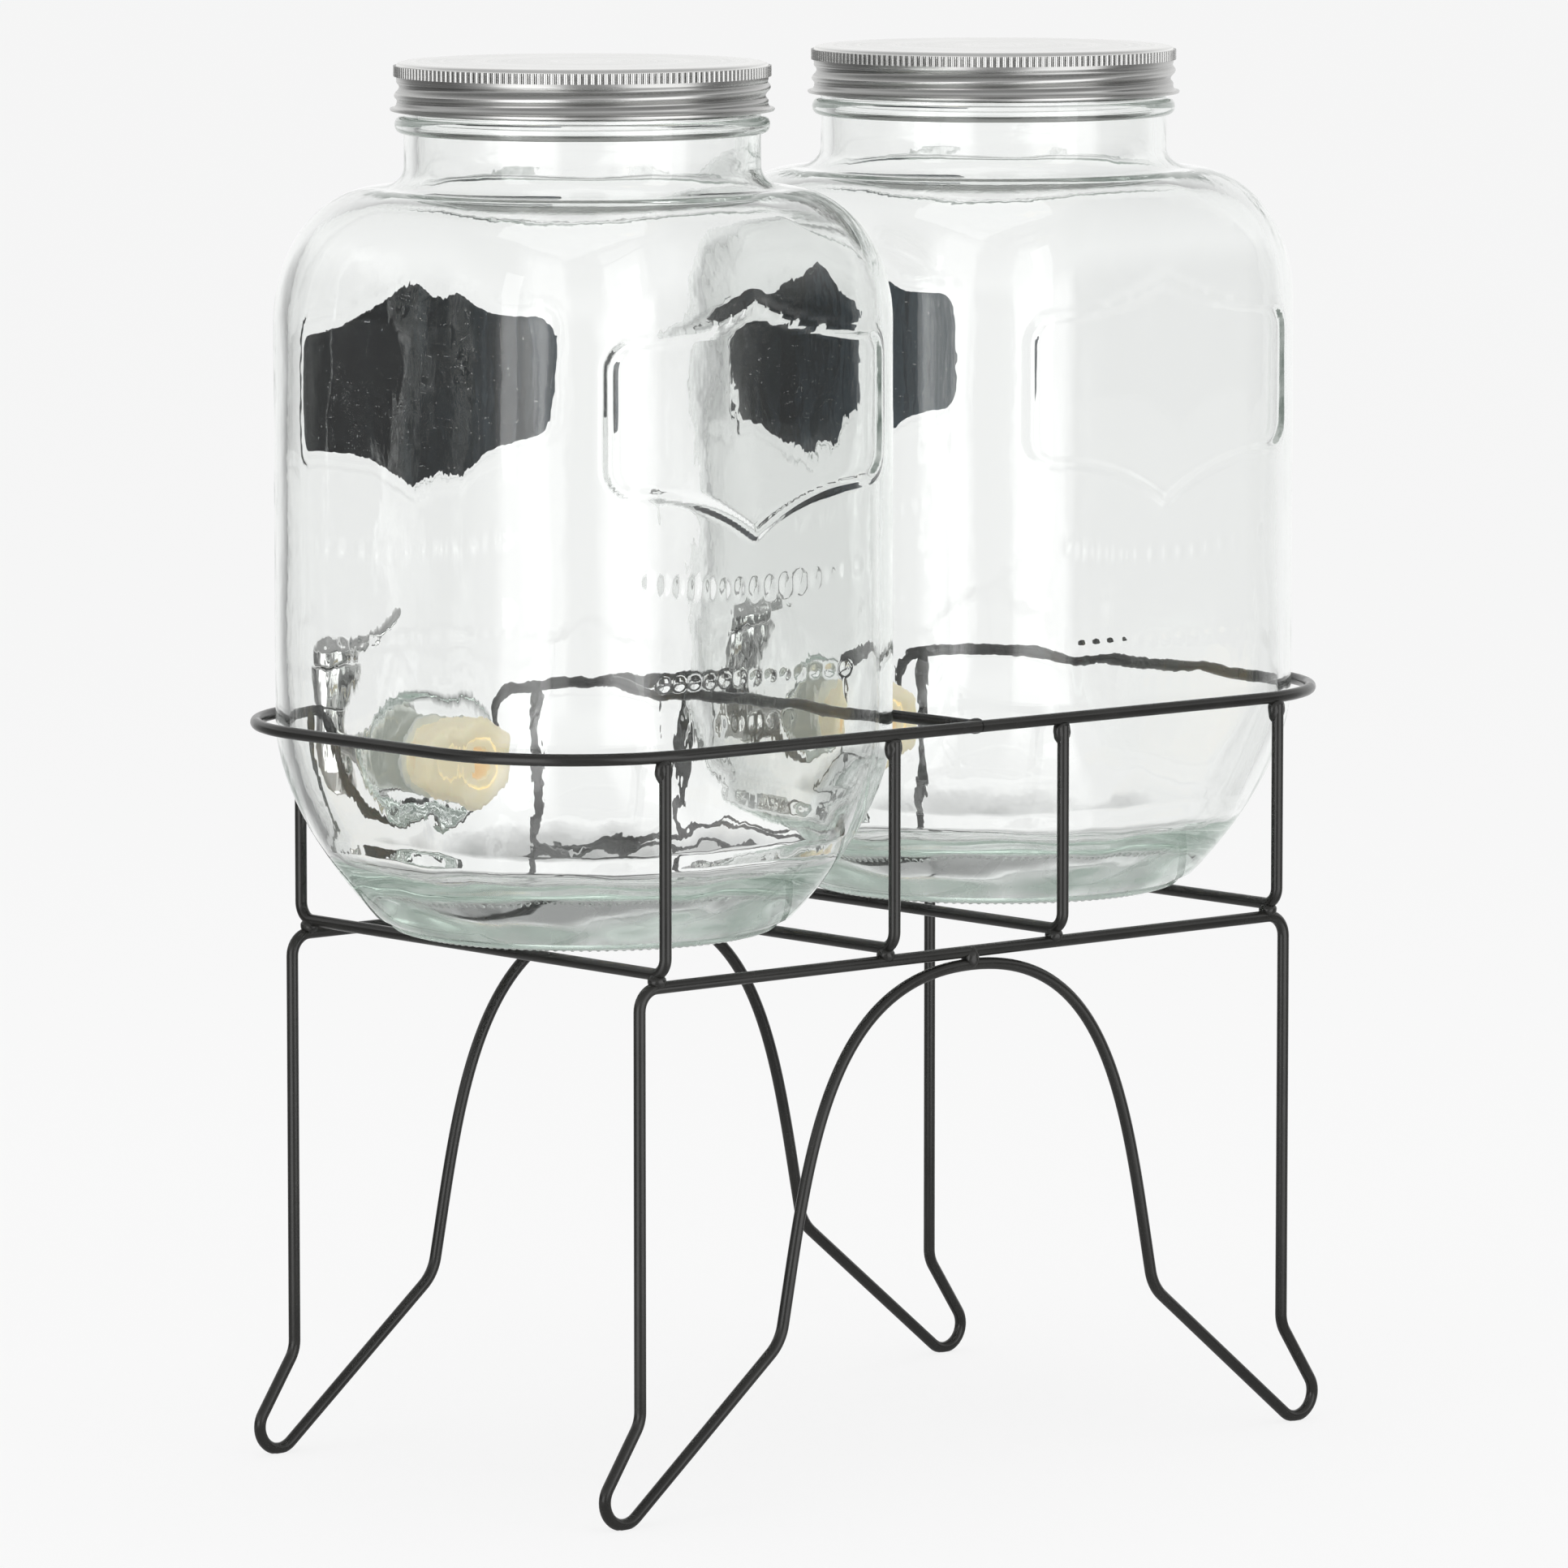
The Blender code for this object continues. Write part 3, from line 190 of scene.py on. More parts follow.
class LidSettings(bpy.types.PropertyGroup):
    """Sizes and colour of a screw lid, heights down from its top."""
    __annotations__ = properties(
        metal=(0.0005, "Thickness of the sheet"),
        radius=(0.0559, "Radius over the knurled band"),
        flat=(0.0519, "Radius of the flat top"),
        knurl_top=(0.0012, "From the top down to the knurled band"),
        knurl_height=(0.0031, "Height of the knurled band"),
        knurl_depth=(0.0008, "Depth of the grooves in the band"),
        knurl_width=(0.0017, "Width of one of its ribs"),
        knurls=(176, "Ribs round the band"),
        waist=(0.0012, "From the band down to the waist"),
        skirt=(0.0145, "Whole height of the lid"),
        lip_radius=(0.0569, "Radius of the flared lip"),
        lip_height=(0.0007, "Height of the lip's edge"),
        flare=(0.0016, "Height of the flare above the lip"),
        clearance=(0.00115, "Between the rolled thread and the jar's"),
        aluminium=((0.92, 0.92, 0.905), "Colour of the spun metal"),
    )


class TapSettings(bpy.types.PropertyGroup):
    """Sizes and colours of a tap, heights from its shank's axis."""
    __annotations__ = properties(
        shank=(0.008, "Radius of the threaded shank"),
        sleeve=(0.0175, "Length of the shank's unplated end"),
        bore=(0.0048, "Radius of the bore through the shank"),
        flange=(0.015, "Radius of the flange on the washer"),
        flange_thickness=(0.003, "Thickness of the flange"),
        flange_neck=(0.0066, "Radius of the neck to the barrel"),
        barrel=(0.008, "Radius of the upright barrel"),
        barrel_top=(0.0235, "Top of the barrel's collar"),
        barrel_shoulder=(0.0145, "Underside of the ring nut"),
        collar=(0.0066, "Radius of the barrel's collar"),
        barrel_low=(0.0125, "Where the barrel narrows to the spout"),
        spout_low=(0.0195, "Mouth of the spout"),
        spout=(0.0064, "Outer radius of the spout's mouth"),
        spout_wall=(0.0022, "Wall of the spout"),
        chamber=(0.0054, "Radius of the plug's chamber"),
        chamber_low=(0.0085, "Floor of the chamber"),
        cap=(0.0087, "Radius of the ring nut"),
        cap_top=(0.0268, "Top of the ring nut"),
        hub=(0.0076, "Radius of the lever's hub"),
        hub_height=(0.0066, "Height of the lever's hub"),
        stem=(0.0032, "Radius of the plug's stem"),
        stem_top=(0.0306, "Top of the socket for the stem"),
        lever_length=(0.0305, "From the axis out to the lever's tip"),
        lever_rise=(0.0125, "Rise of the lever's arm"),
        lever_width=(0.0088, "Width of the lever's paddle"),
        lever_thickness=(0.0032, "Thickness of the lever's arm"),
        nut_hub=(0.0122, "Radius of the nut's round hub"),
        nut_across=(0.027, "Across the flats of the nut's hexagonal end"),
        nut_hex=(0.0080, "Length of the hexagonal end"),
        round_steps=(56, "Facets round a turned piece"),
        chrome=((0.80, 0.80, 0.79), "Colour of the plating"),
        plastic=((0.96, 0.85, 0.58), "Colour of the nut"),
        silicone=((0.70, 0.72, 0.68), "Colour of the washers"),
    )


class StageSettings(bpy.types.PropertyGroup):
    """Camera, lamps and background."""
    __annotations__ = properties(
        focal=(232.74, "Lens in millimetres for a 36 mm frame", "CAMERA"),
        camera_x=(2.00572, "Camera position"),
        camera_y=(2.32489, "Camera position"),
        camera_z=(0.56089, "Camera position"),
        aim_x=(0.00302, "Point in the middle of the picture"),
        aim_y=(0.0222, "Point in the middle of the picture"),
        aim_z=(0.20098, "Point in the middle of the picture"),
        backdrop=((0.952, 0.952, 0.952), "Colour of floor and background"),
        shadow=(0.14, "How much of the floor's own shading the camera sees", "NONE"),
        mirrored_floor=(0.36, "Brightness of the near floor as metal and glass mirror it", "NONE"),
        fill=(0.74, "Strength of the even light", "NONE"),
    )


# Node helpers

class Graph:
    """A node tree under construction, with short calls to add and link nodes."""

    def __init__(self, tree):
        self.tree = tree
        self.shader = tree.nodes.get("Principled BSDF")

    def add(self, kind, links=(), **values):
        """Add a node, set its values and feed its inputs from (input, output socket) pairs."""
        node = self.tree.nodes.new(kind)
        for key, value in values.items():
            setattr(node, key, value)
        for key, source in links:
            if hasattr(source, "is_output"):
                self.tree.links.new(source, node.inputs[key])
            else:
                node.inputs[key].default_value = source
        return node

    def feed(self, key, source):
        """Feed one of the shader's inputs."""
        self.tree.links.new(source, self.shader.inputs[key])

    def math(self, operation, *operands):
        """A Math node's result."""
        return self.add("ShaderNodeMath", enumerate(operands), operation=operation).outputs[0]

    def place(self, centre=(0.0, 0.0, 0.0), stretch=(1.0, 1.0, 1.0)):
        """Object coordinates, centred on a place and stretched."""
        coordinates = self.add("ShaderNodeTexCoord").outputs["Object"]
        links = (("Vector", coordinates), ("Location", [-c * s for c, s in zip(centre, stretch)]),
                 ("Scale", stretch))
        return self.add("ShaderNodeMapping", links).outputs["Vector"]

    def parts(self, vector):
        """The X, Y and Z of a vector."""
        return self.add("ShaderNodeSeparateXYZ", ((0, vector),)).outputs

    def reach(self, parts):
        """Distance from the Z axis."""
        squares = [self.math("MULTIPLY", parts[key], parts[key]) for key in ("X", "Y")]
        return self.math("SQRT", self.math("ADD", *squares))

    def speckle(self, vector, scale, detail=3.0, roughness=0.5):
        """Noise over a surface."""
        links = (("Vector", vector), ("Scale", scale), ("Detail", detail), ("Roughness", roughness))
        return self.add("ShaderNodeTexNoise", links).outputs[0]

    def remap(self, value, low, high, to_low=0.0, to_high=1.0):
        """A value's range carried over to another range."""
        links = (("Value", value), ("From Min", low), ("From Max", high), ("To Min", to_low),
                 ("To Max", to_high))
        return self.add("ShaderNodeMapRange", links).outputs["Result"]

    def spread(self, noise, low, high):
        """Noise, which lies about its middle, spread between two limits."""
        return self.remap(noise, 0.3, 0.7, low, high)

    def tone(self, factor, dark, light):
        """A colour between two colours, each a colour or a socket."""
        links = [(0, factor)]
        for key, value in ((6, dark), (7, light)):
            links.append((key, value if hasattr(value, "is_output") else (*value, 1.0)))
        return self.add("ShaderNodeMix", links, data_type="RGBA").outputs[2]

    def bump(self, height, depth, strength=1.0):
        """Relief of a given depth in metres."""
        links = (("Height", height), ("Distance", depth), ("Strength", strength))
        self.feed("Normal", self.add("ShaderNodeBump", links).outputs["Normal"])


def new_finish(name, **sockets):
    """A material with a Principled shader, its plain values set on the shader itself."""
    material = bpy.data.materials.new(name)
    material.use_nodes = True
    graph = Graph(material.node_tree)
    for key, value in sockets.items():
        socket = graph.shader.inputs[key.replace("_", " ")]
        socket.default_value = (*value, 1.0) if socket.type == "RGBA" else value
    return material, graph


def cloudy_finish(name, dark, light, cloud, relief, wear=None, **sockets):
    """A material with a cloudy colour of (scale, detail), relief of (scale, detail, depth, strength)
    and, where it is rubbed, gloss of (scale, detail, least, most)."""
    finish, graph = new_finish(name, **sockets)
    vector = graph.place()
    graph.feed("Base Color", graph.tone(graph.spread(graph.speckle(vector, *cloud), 0.0, 1.0), dark, light))
    if wear:
        graph.feed("Roughness", graph.spread(graph.speckle(vector, *wear[:2]), *wear[2:]))
    graph.bump(graph.speckle(vector, *relief[:2]), *relief[2:])
    return finish


def scaled(colour, factor):
    """A lighter or darker shade of a colour."""
    return tuple(min(1.0, part * factor) for part in colour)


def set_stops(ramp, stops):
    """Give a ramp its stops, (place, colour) each."""
    ramp.elements.remove(ramp.elements[1])
    for index, (place, value) in enumerate(stops):
        stop = ramp.elements[0] if index == 0 else ramp.elements.new(place)
        stop.position = place
        stop.color = (*value, 1.0)


# Mesh helpers

def linked(name, data):
    """An object with its data, in the scene."""
    thing = bpy.data.objects.new(name, data)
    bpy.context.scene.collection.objects.link(thing)
    return thing


def new_piece(name, mesh, finish):
    """An object at the origin with one material and smooth sides."""
    mesh.materials.clear()
    mesh.materials.append(finish)
    mesh.shade_smooth()
    mesh.set_sharp_from_angle(angle=math.radians(38.0))
    return linked(name, mesh)


def settle(piece, body, slot, *nodes):
    """Name the body a piece rides on and hide the nodes it stands for; the slot is not used."""
    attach(piece, body)
    if nodes:
        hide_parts(*nodes)


def paint_node(node, finish):
    """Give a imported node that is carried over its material."""
    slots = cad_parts[node].data.materials
    slots.clear()
    slots.append(finish)


def spokes(steps):
    """Cosine and sine of even steps round a circle."""
    return [(math.cos(TURN * step / steps), math.sin(TURN * step / steps)) for step in range(steps)]


def quarter(steps):
    """Sine and cosine of even steps over a quarter turn, both ends included."""
    angles = [math.pi / 2 * step / steps for step in range(steps + 1)]
    return [(math.sin(angle), math.cos(angle)) for angle in angles]


def loft(name, rings, ring_shaped=False):
    """A closed mesh through rings of like count, with fans at both ends unless ring-shaped."""
    total, rows = len(rings[0]), len(rings)
    points = [tuple(point) for ring in rings for point in ring]
    faces = []
    for row in range(rows if ring_shaped else rows - 1):
        low, high = row * total, (row + 1) % rows * total
        for step in range(total):
            after = (step + 1) % total
            faces.append((low + step, low + after, high + after, high + step))
    for row in () if ring_shaped else (0, rows - 1):
        points.append(tuple(np.mean(np.array(rings[row]), axis=0)))
        hub = len(points) - 1
        faces += [(row * total + step, row * total + (step + 1) % total, hub) for step in range(total)]
    mesh = bpy.data.meshes.new(name)
    mesh.from_pydata(points, [], faces)
    return turned_outwards(mesh)


def turned_outwards(mesh):
    """A closed mesh with its faces turned outwards."""
    work = bmesh.new()
    work.from_mesh(mesh)
    bmesh.ops.recalc_face_normals(work, faces=work.faces)
    work.to_mesh(mesh)
    work.free()
    return mesh


def turned(name, profile, place, steps, along_y=False, ring_shaped=False):
    """A solid of revolution from (radius, height) pairs about Z, or about Y where a tap needs it."""
    rings = []
    for radius, height in profile:
        circle = [(radius * cosine, radius * sine) for cosine, sine in spokes(steps)]
        spots = [(x, height, z) for x, z in circle] if along_y else [(x, y, height) for x, y in circle]
        rings.append([Vector(spot) + place for spot in spots])
    return loft(name, rings, ring_shaped)


def bend(before, corner, after, radius, steps):
    """Points of a round bend at a corner of a path."""
    inwards = (before - corner).normalized()
    onwards = (after - corner).normalized()
    half_angle = inwards.angle(onwards) / 2
    radius = min(radius, 0.49 * math.tan(half_angle) * min((before - corner).length, (after - corner).length))
    centre = corner + (inwards + onwards).normalized() * (radius / math.sin(half_angle))
    start = corner + inwards * (radius / math.tan(half_angle)) - centre
    end = corner + onwards * (radius / math.tan(half_angle)) - centre
    sweep = start.angle(end)
    points = []
    for step in range(steps + 1):
        part = step / steps
        points.append(centre + (start * math.sin((1 - part) * sweep) + end * math.sin(part * sweep))
                      / math.sin(sweep))
    return points


def rounded(profile, radius, steps=4, closed=False):
    """A profile whose corners are rounded, as (radius, height) pairs."""
    corners = [Vector(point) for point in profile]
    total = len(corners)
    points = []
    for index, corner in enumerate(corners):
        before, after = corners[index - 1], corners[(index + 1) % total]
        at_end = not closed and index in (0, total - 1)
        if at_end or (before - corner).angle(after - corner) > math.radians(172.0):
            points.append(corner)
        else:
            points += bend(before, corner, after, radius, steps)
    return [tuple(point) for point in points]


def joined(name, first, others):
    """One mesh from several closed ones by Boolean operations."""
    base = linked(name, first)
    guides = []
    for mesh, verb in others:
        guide = linked(mesh.name, mesh)
        modifier = base.modifiers.new(mesh.name, "BOOLEAN")
        modifier.operation = verb
        modifier.object = guide
        guides.append(guide)
    result = bpy.data.meshes.new_from_object(base.evaluated_get(bpy.context.evaluated_depsgraph_get()))
    for thing in guides + [base]:
        bpy.data.objects.remove(thing, do_unlink=True)
    result.name = name
    return result


# Geometry Nodes helpers

def new_tree(name, sizes):
    """A Geometry Nodes tree with named inputs for its sizes."""
    tree = bpy.data.node_groups.new(name, "GeometryNodeTree")
    tree.interface.new_socket("Geometry", in_out="INPUT", socket_type="NodeSocketGeometry")
    for label, value in sizes.items():
        kind = "NodeSocketInt" if isinstance(value, int) else "NodeSocketFloat"
        tree.interface.new_socket(label, in_out="INPUT", socket_type=kind).default_value = value
    tree.interface.new_socket("Geometry", in_out="OUTPUT", socket_type="NodeSocketGeometry")
    graph = Graph(tree)
    return graph, graph.add("NodeGroupInput").outputs


def end_tree(graph, geometry, finish):
    """Realize the instances, set the material and end the tree."""
    real = graph.add("GeometryNodeRealizeInstances", ((0, geometry),)).outputs[0]
    smooth = graph.add("GeometryNodeSetShadeSmooth", (("Geometry", real),)).outputs[0]
    painted = graph.add("GeometryNodeSetMaterial", (("Geometry", smooth), ("Material", finish))).outputs[0]
    graph.add("NodeGroupOutput", ((0, painted),))
    return graph.tree


def grown(name, seed_object, tree, sizes, finish):
    """The plain piece that a tree makes from an object, which is then removed."""
    modifier = seed_object.modifiers.new(tree.name, "NODES")
    modifier.node_group = tree
    for item in tree.interface.items_tree:
        if item.in_out == "INPUT" and item.name in sizes:
            modifier[item.identifier] = sizes[item.name]
    seed_object.update_tag()
    evaluated = seed_object.evaluated_get(bpy.context.evaluated_depsgraph_get())
    mesh = bpy.data.meshes.new_from_object(evaluated)
    mesh.name = name
    bpy.data.objects.remove(seed_object, do_unlink=True)
    return new_piece(name, mesh, finish)


def wire_tree(finish):
    """A round wire that follows a line."""
    graph, sizes = new_tree("wire_along_line", {"Wire radius": 0.001, "Sides": 8})
    ring = graph.add("GeometryNodeCurvePrimitiveCircle", (("Resolution", sizes["Sides"]),
                                                          ("Radius", sizes["Wire radius"])))
    links = (("Curve", sizes["Geometry"]), ("Profile Curve", ring.outputs["Curve"]), ("Fill Caps", True))
    return end_tree(graph, graph.add("GeometryNodeCurveToMesh", links).outputs["Mesh"], finish)


def weld_tree(finish):
    """An uneven bead of weld at every point, sized by the point's own attribute."""
    graph, sizes = new_tree("weld_beads", {"Unevenness": 0.0003, "Grain": 400.0, "Seed": 1})
    ball = graph.add("GeometryNodeMeshIcoSphere", (("Radius", 1.0), ("Subdivisions", 4)))
    reach = graph.add("GeometryNodeInputNamedAttribute", (("Name", "reach"),), data_type="FLOAT_VECTOR")
    links = (("Points", sizes["Geometry"]), ("Instance", ball.outputs["Mesh"]),
             ("Scale", reach.outputs["Attribute"]))
    beads = graph.add("GeometryNodeInstanceOnPoints", links).outputs["Instances"]
    real = graph.add("GeometryNodeRealizeInstances", ((0, beads),)).outputs[0]
    links = (("Scale", sizes["Grain"]), ("W", sizes["Seed"]), ("Detail", 2.0))
    noise = graph.add("ShaderNodeTexNoise", links, noise_dimensions="4D").outputs[0]
    lift = graph.math("MULTIPLY", graph.math("SUBTRACT", noise, 0.5), sizes["Unevenness"])
    normal = graph.add("GeometryNodeInputNormal").outputs[0]
    offset = graph.add("ShaderNodeVectorMath", ((0, normal), ("Scale", lift)), operation="SCALE").outputs[0]
    moved = graph.add("GeometryNodeSetPosition", (("Geometry", real), ("Offset", offset))).outputs[0]
    return end_tree(graph, moved, finish)


def stud_tree(finish, upright_bars):
    """A ring of like studs about an upright axis: round bars, or else pebbles."""
    sizes = dict.fromkeys(("Ring radius", "Stud width", "Stud depth", "Stud height"), 0.001)
    graph, sizes = new_tree("ring_of_studs", {"Count": 8, **sizes})
    links = (("Vertices", sizes["Count"]), ("Radius", sizes["Ring radius"]))
    ring = graph.add("GeometryNodeMeshCircle", links)
    if upright_bars:
        stud = graph.add("GeometryNodeMeshCylinder", (("Vertices", 10), ("Radius", 0.5), ("Depth", 1.0)))
    else:
        stud = graph.add("GeometryNodeMeshUVSphere", (("Segments", 8), ("Rings", 6), ("Radius", 0.5)))
    size = graph.add("ShaderNodeCombineXYZ", (("X", sizes["Stud depth"]), ("Y", sizes["Stud width"]),
                                              ("Z", sizes["Stud height"]))).outputs[0]
    position = graph.add("GeometryNodeInputPosition").outputs[0]
    turn = graph.add("FunctionNodeAlignRotationToVector", (("Vector", position),), axis="X", pivot_axis="Z")
    links = (("Points", ring.outputs["Mesh"]), ("Instance", stud.outputs["Mesh"]),
             ("Rotation", turn.outputs["Rotation"]), ("Scale", size))
    return end_tree(graph, graph.add("GeometryNodeInstanceOnPoints", links).outputs["Instances"], finish)


def ring_of_studs(name, place, size, count, radius, finish, upright_bars=False):
    """Studs of a size (across, outwards, up) round an upright axis at a place, as a plain piece."""
    seed_object = linked(name + "_seed", bpy.data.meshes.new(name + "_seed"))
    values = {"Count": count, "Ring radius": radius, "Stud width": size[0], "Stud depth": size[1],
              "Stud height": size[2]}
    piece = grown(name, seed_object, stud_tree(finish, upright_bars), values, finish)
    piece.data.transform(Matrix.Translation(place))
    return piece


# Wire stand

FRAME_WELD = (1.50, 1.55, 1.35)
TOP_WELD = (1.65, 1.20, 2.40)
CROWN_WELD = (1.45, 1.60, 2.00)
BUTT_WELD = (1.7, 1.50, 1.30)
TOP_WELD_DROP = 0.0018
CRADLES = range(1, 5)


def wire_finish(stand):
    """Satin black coating with a faint orange peel."""
    dark, light = scaled(stand.coating, 0.82), scaled(stand.coating, 1.3)
    return cloudy_finish("black_coating", dark, light, (55.0, 4.0), (900.0, 2.0, 0.00004, 0.6),
                         (180.0, 3.0, 0.17, 0.28), IOR=1.5, Specular_IOR_Level=0.55)


def stand_places(stand):
    """Places of the stand's wires, from the frame."""
    radius, middle = stand.wire / 2, middle_of("divider_bar")
    bar_low, bar_high = corners_of("divider_bar")
    hoop_low, hoop_high = corners_of("top_hoop_right")
    cradle_low, cradle_high = corners_of("cradle_wire_1")
    frame_top = corners_of("side_frame_rear")[1].z
    return SimpleNamespace(
        radius=radius, middle=middle.y, ring_level=middle.z, bar_reach=(bar_high.y - bar_low.y) / 2,
        ring_start=hoop_low.x, ring_end=hoop_high.x - radius,
        ring_y=(cradle_high.y - cradle_low.y) / 2 - radius,
        frame_y=middle_of("side_frame_rear").y - middle.y, rail=frame_top - radius,
        crown=frame_top - radius - stand.wire - TOUCH_GAP, cradle_level=cradle_low.z + radius,
        cradle_top=cradle_high.z, tap_x=middle_of("tap_cap_right").x,
        leg_x=middle_of("cradle_wire_1").x + stand.leg_out)


def touch_angle(centre, radius, point, side):
    """Angle on a circle where a straight wire from a point touches it."""
    towards = point - centre
    return math.atan2(towards.y, towards.x) + side * math.acos(radius / towards.length)


def foot_loop(stand, at):
    """The foot's round end as (x, z), from the leg's side to the arch's side."""
    centre = Vector((at.leg_x + stand.foot_out, stand.foot_bend + at.radius - stand.foot_flat))
    first = touch_angle(centre, stand.foot_bend, Vector((at.leg_x, stand.kink_height)), -1)
    last = touch_angle(centre, stand.foot_bend, Vector((stand.knee_out, stand.knee_height)), 1)
    last -= TURN * math.ceil((last - first) / TURN)
    steps = stand.bend_steps * 2
    angles = [first + (last - first) * step / steps for step in range(steps + 1)]
    return [centre + stand.foot_bend * Vector((math.cos(a), math.sin(a))) for a in angles]


def arch_line(stand, at):
    """The arch from its knee to its crown as (x, z) on one Bezier curve."""
    knee, crown = Vector((stand.knee_out, stand.knee_height)), Vector((0.0, at.crown))
    lean = stand.arch_lean
    low_handle = knee + stand.arch_low_pull * Vector((-math.sin(lean), math.cos(lean)))
    top_handle = crown + Vector((stand.arch_top_pull, 0.0))
    steps = stand.bend_steps * 5
    line = []
    for step in range(1, steps + 1):
        t = step / steps
        rest = 1 - t
        line.append(knee * rest**3 + low_handle * (3 * rest * rest * t)
                    + top_handle * (3 * rest * t * t) + crown * t**3)
    return line


def side_frame_line(stand, at, depth):
    """The closed line of a side frame: rail, legs, foot loops and arch."""
    foot, arch, steps = foot_loop(stand, at), arch_line(stand, at), stand.bend_steps
    middle, corner = Vector((0.0, at.rail)), Vector((at.leg_x, at.rail))
    kink, knee = Vector((at.leg_x, stand.kink_height)), Vector((stand.knee_out, stand.knee_height))
    half = [middle, *bend(middle, corner, kink, stand.rail_bend, steps)]
    half += bend(corner, kink, foot[0], stand.kink_bend, steps) + foot
    half += bend(foot[-1], knee, arch[0] + (arch[0] - knee) * 8, stand.knee_bend, steps)
    half += [point for point in arch if (point - knee).length > stand.knee_bend * 0.35]
    line = half + [Vector((-point.x, point.y)) for point in reversed(half[1:-1])]
    return [Vector((point.x, depth, point.y)) for point in line]


def open_line(corners, bends, steps):
    """An open line through corners, each with a bend of exactly its radius."""
    line = [corners[0]]
    for before, corner, after, radius, facets in zip(corners, corners[1:], corners[2:], bends, steps):
        inwards, onwards = (before - corner).normalized(), (after - corner).normalized()
        room_needed = 2.1 * radius / math.tan(inwards.angle(onwards) / 2)
        line += bend(corner + inwards * room_needed, corner, corner + onwards * room_needed, radius, facets)
    return line + [corners[-1]]


def hoop_line(stand, at, side):
    """The open line of a hoop round one jar, with its dip under the tap."""
    reach, depth = at.ring_y, stand.dip_depth
    tap, half = side * at.tap_x, side * stand.dip_half_width
    start, end = side * at.ring_start, side * at.ring_end
    corners = [(start, reach, 0), (end, reach, 0), (end, -reach, 0), (tap + half, -reach, 0),
               (tap + half, -reach, -depth), (tap - half, -reach, -depth), (tap - half, -reach, 0),
               (start, -reach, 0)]
    bends = [stand.hoop_corner] * 2 + [stand.dip_top_bend, stand.dip_low_bend, stand.dip_low_bend,
                                       stand.dip_top_bend]
    steps = [stand.bend_steps * 2] * 2 + [stand.bend_steps] * 4
    return open_line([Vector((x, at.middle + y, at.ring_level + z)) for x, y, z in corners], bends, steps)


def cradle_line(stand, at, x):
    """A cradle wire: up, across under the jar and up again."""
    low, high = at.middle - at.ring_y, at.middle + at.ring_y
    corners = [(x, low, at.cradle_top), (x, low, at.cradle_level), (x, high, at.cradle_level),
               (x, high, at.cradle_top)]
    return open_line([Vector(corner) for corner in corners], [stand.cradle_bend] * 2, [stand.bend_steps] * 2)


def stand_lines(stand, at):
    """Every wire's node with its line and whether the line is closed."""
    bar = [Vector((0.0, at.middle + side * at.bar_reach, at.ring_level)) for side in (-1, 1)]
    lines = {"divider_bar": (bar, False)}
    for word, side in (("front", -1), ("rear", 1)):
        lines[f"side_frame_{word}"] = (side_frame_line(stand, at, at.middle + side * at.frame_y), True)
    for word, side in (("right", 1), ("left", -1)):
        lines[f"top_hoop_{word}"] = (hoop_line(stand, at, side), False)
    for number in CRADLES:
        node = f"cradle_wire_{number}"
        lines[node] = (cradle_line(stand, at, middle_of(node).x), False)
    return lines


def line_object(name, points, closed):
    """A curve object along points."""
    curve = bpy.data.curves.new(name, "CURVE")
    curve.dimensions = "3D"
    spline = curve.splines.new("POLY")
    spline.points.add(len(points) - 1)
    for spot, point in zip(spline.points, points):
        spot.co = (*point, 1.0)
    spline.use_cyclic_u = closed
    return linked(name, curve)


def weld_spots(at):
    """Every weld as a place and its reach along X, Y and Z, in wire radii."""
    between = (at.rail + at.cradle_level) / 2
    spots = []
    for number in CRADLES:
        x = middle_of(f"cradle_wire_{number}").x
        for side in (-1, 1):
            inside = at.middle + side * (at.ring_y - at.radius * 0.35)
            spots.append(((x, at.middle + side * at.frame_y, between), FRAME_WELD))
            spots.append(((x, inside, at.cradle_top - TOP_WELD_DROP), TOP_WELD))
    for side in (-1, 1):
        spots.append(((0.0, at.middle + side * at.frame_y, at.rail - at.radius), CROWN_WELD))
        spots.append(((0.0, at.middle + side * (at.ring_y - at.radius), at.ring_level), BUTT_WELD))
    return spots


def weld_seeds(spots, radius):
    """A mesh of loose points that carries the welds' reaches."""
    mesh = bpy.data.meshes.new("weld_points")
    mesh.from_pydata([place for place, reach in spots], [], [])
    reaches = mesh.attributes.new("reach", "FLOAT_VECTOR", "POINT")
    for value, (place, reach) in zip(reaches.data, spots):
        value.vector = [radius * part for part in reach]
    return linked("weld_points", mesh)


def keep_above_floor(piece):
    """Wear the wire flat where it stands on the floor."""
    for vertex in piece.data.vertices:
        vertex.co.z = max(vertex.co.z, 0.0)


class DISPENSER_OT_stand(bpy.types.Operator):
    """Make the wires and welds of the stand"""
    bl_idname = "dispenser.stand"
    bl_label = "Wire Stand"

    def execute(self, context):
        stand = context.scene.dispenser_stand
        at, finish = stand_places(stand), wire_finish(stand)
        tree = wire_tree(finish)
        values = {"Wire radius": at.radius, "Sides": stand.wire_sides}
        for node, (points, closed) in stand_lines(stand, at).items():
            piece = grown("wire_" + node, line_object(node + "_line", points, closed), tree, values, finish)
            keep_above_floor(piece)
            settle(piece, "stand", "wire", node)
        values = {"Unevenness": 0.0007, "Grain": 420.0, "Seed": stand.weld_seed}
        seeds = weld_seeds(weld_spots(at), at.radius)
        settle(grown("stand_welds", seeds, weld_tree(finish), values, finish), "stand", "wire")
        return {"FINISHED"}
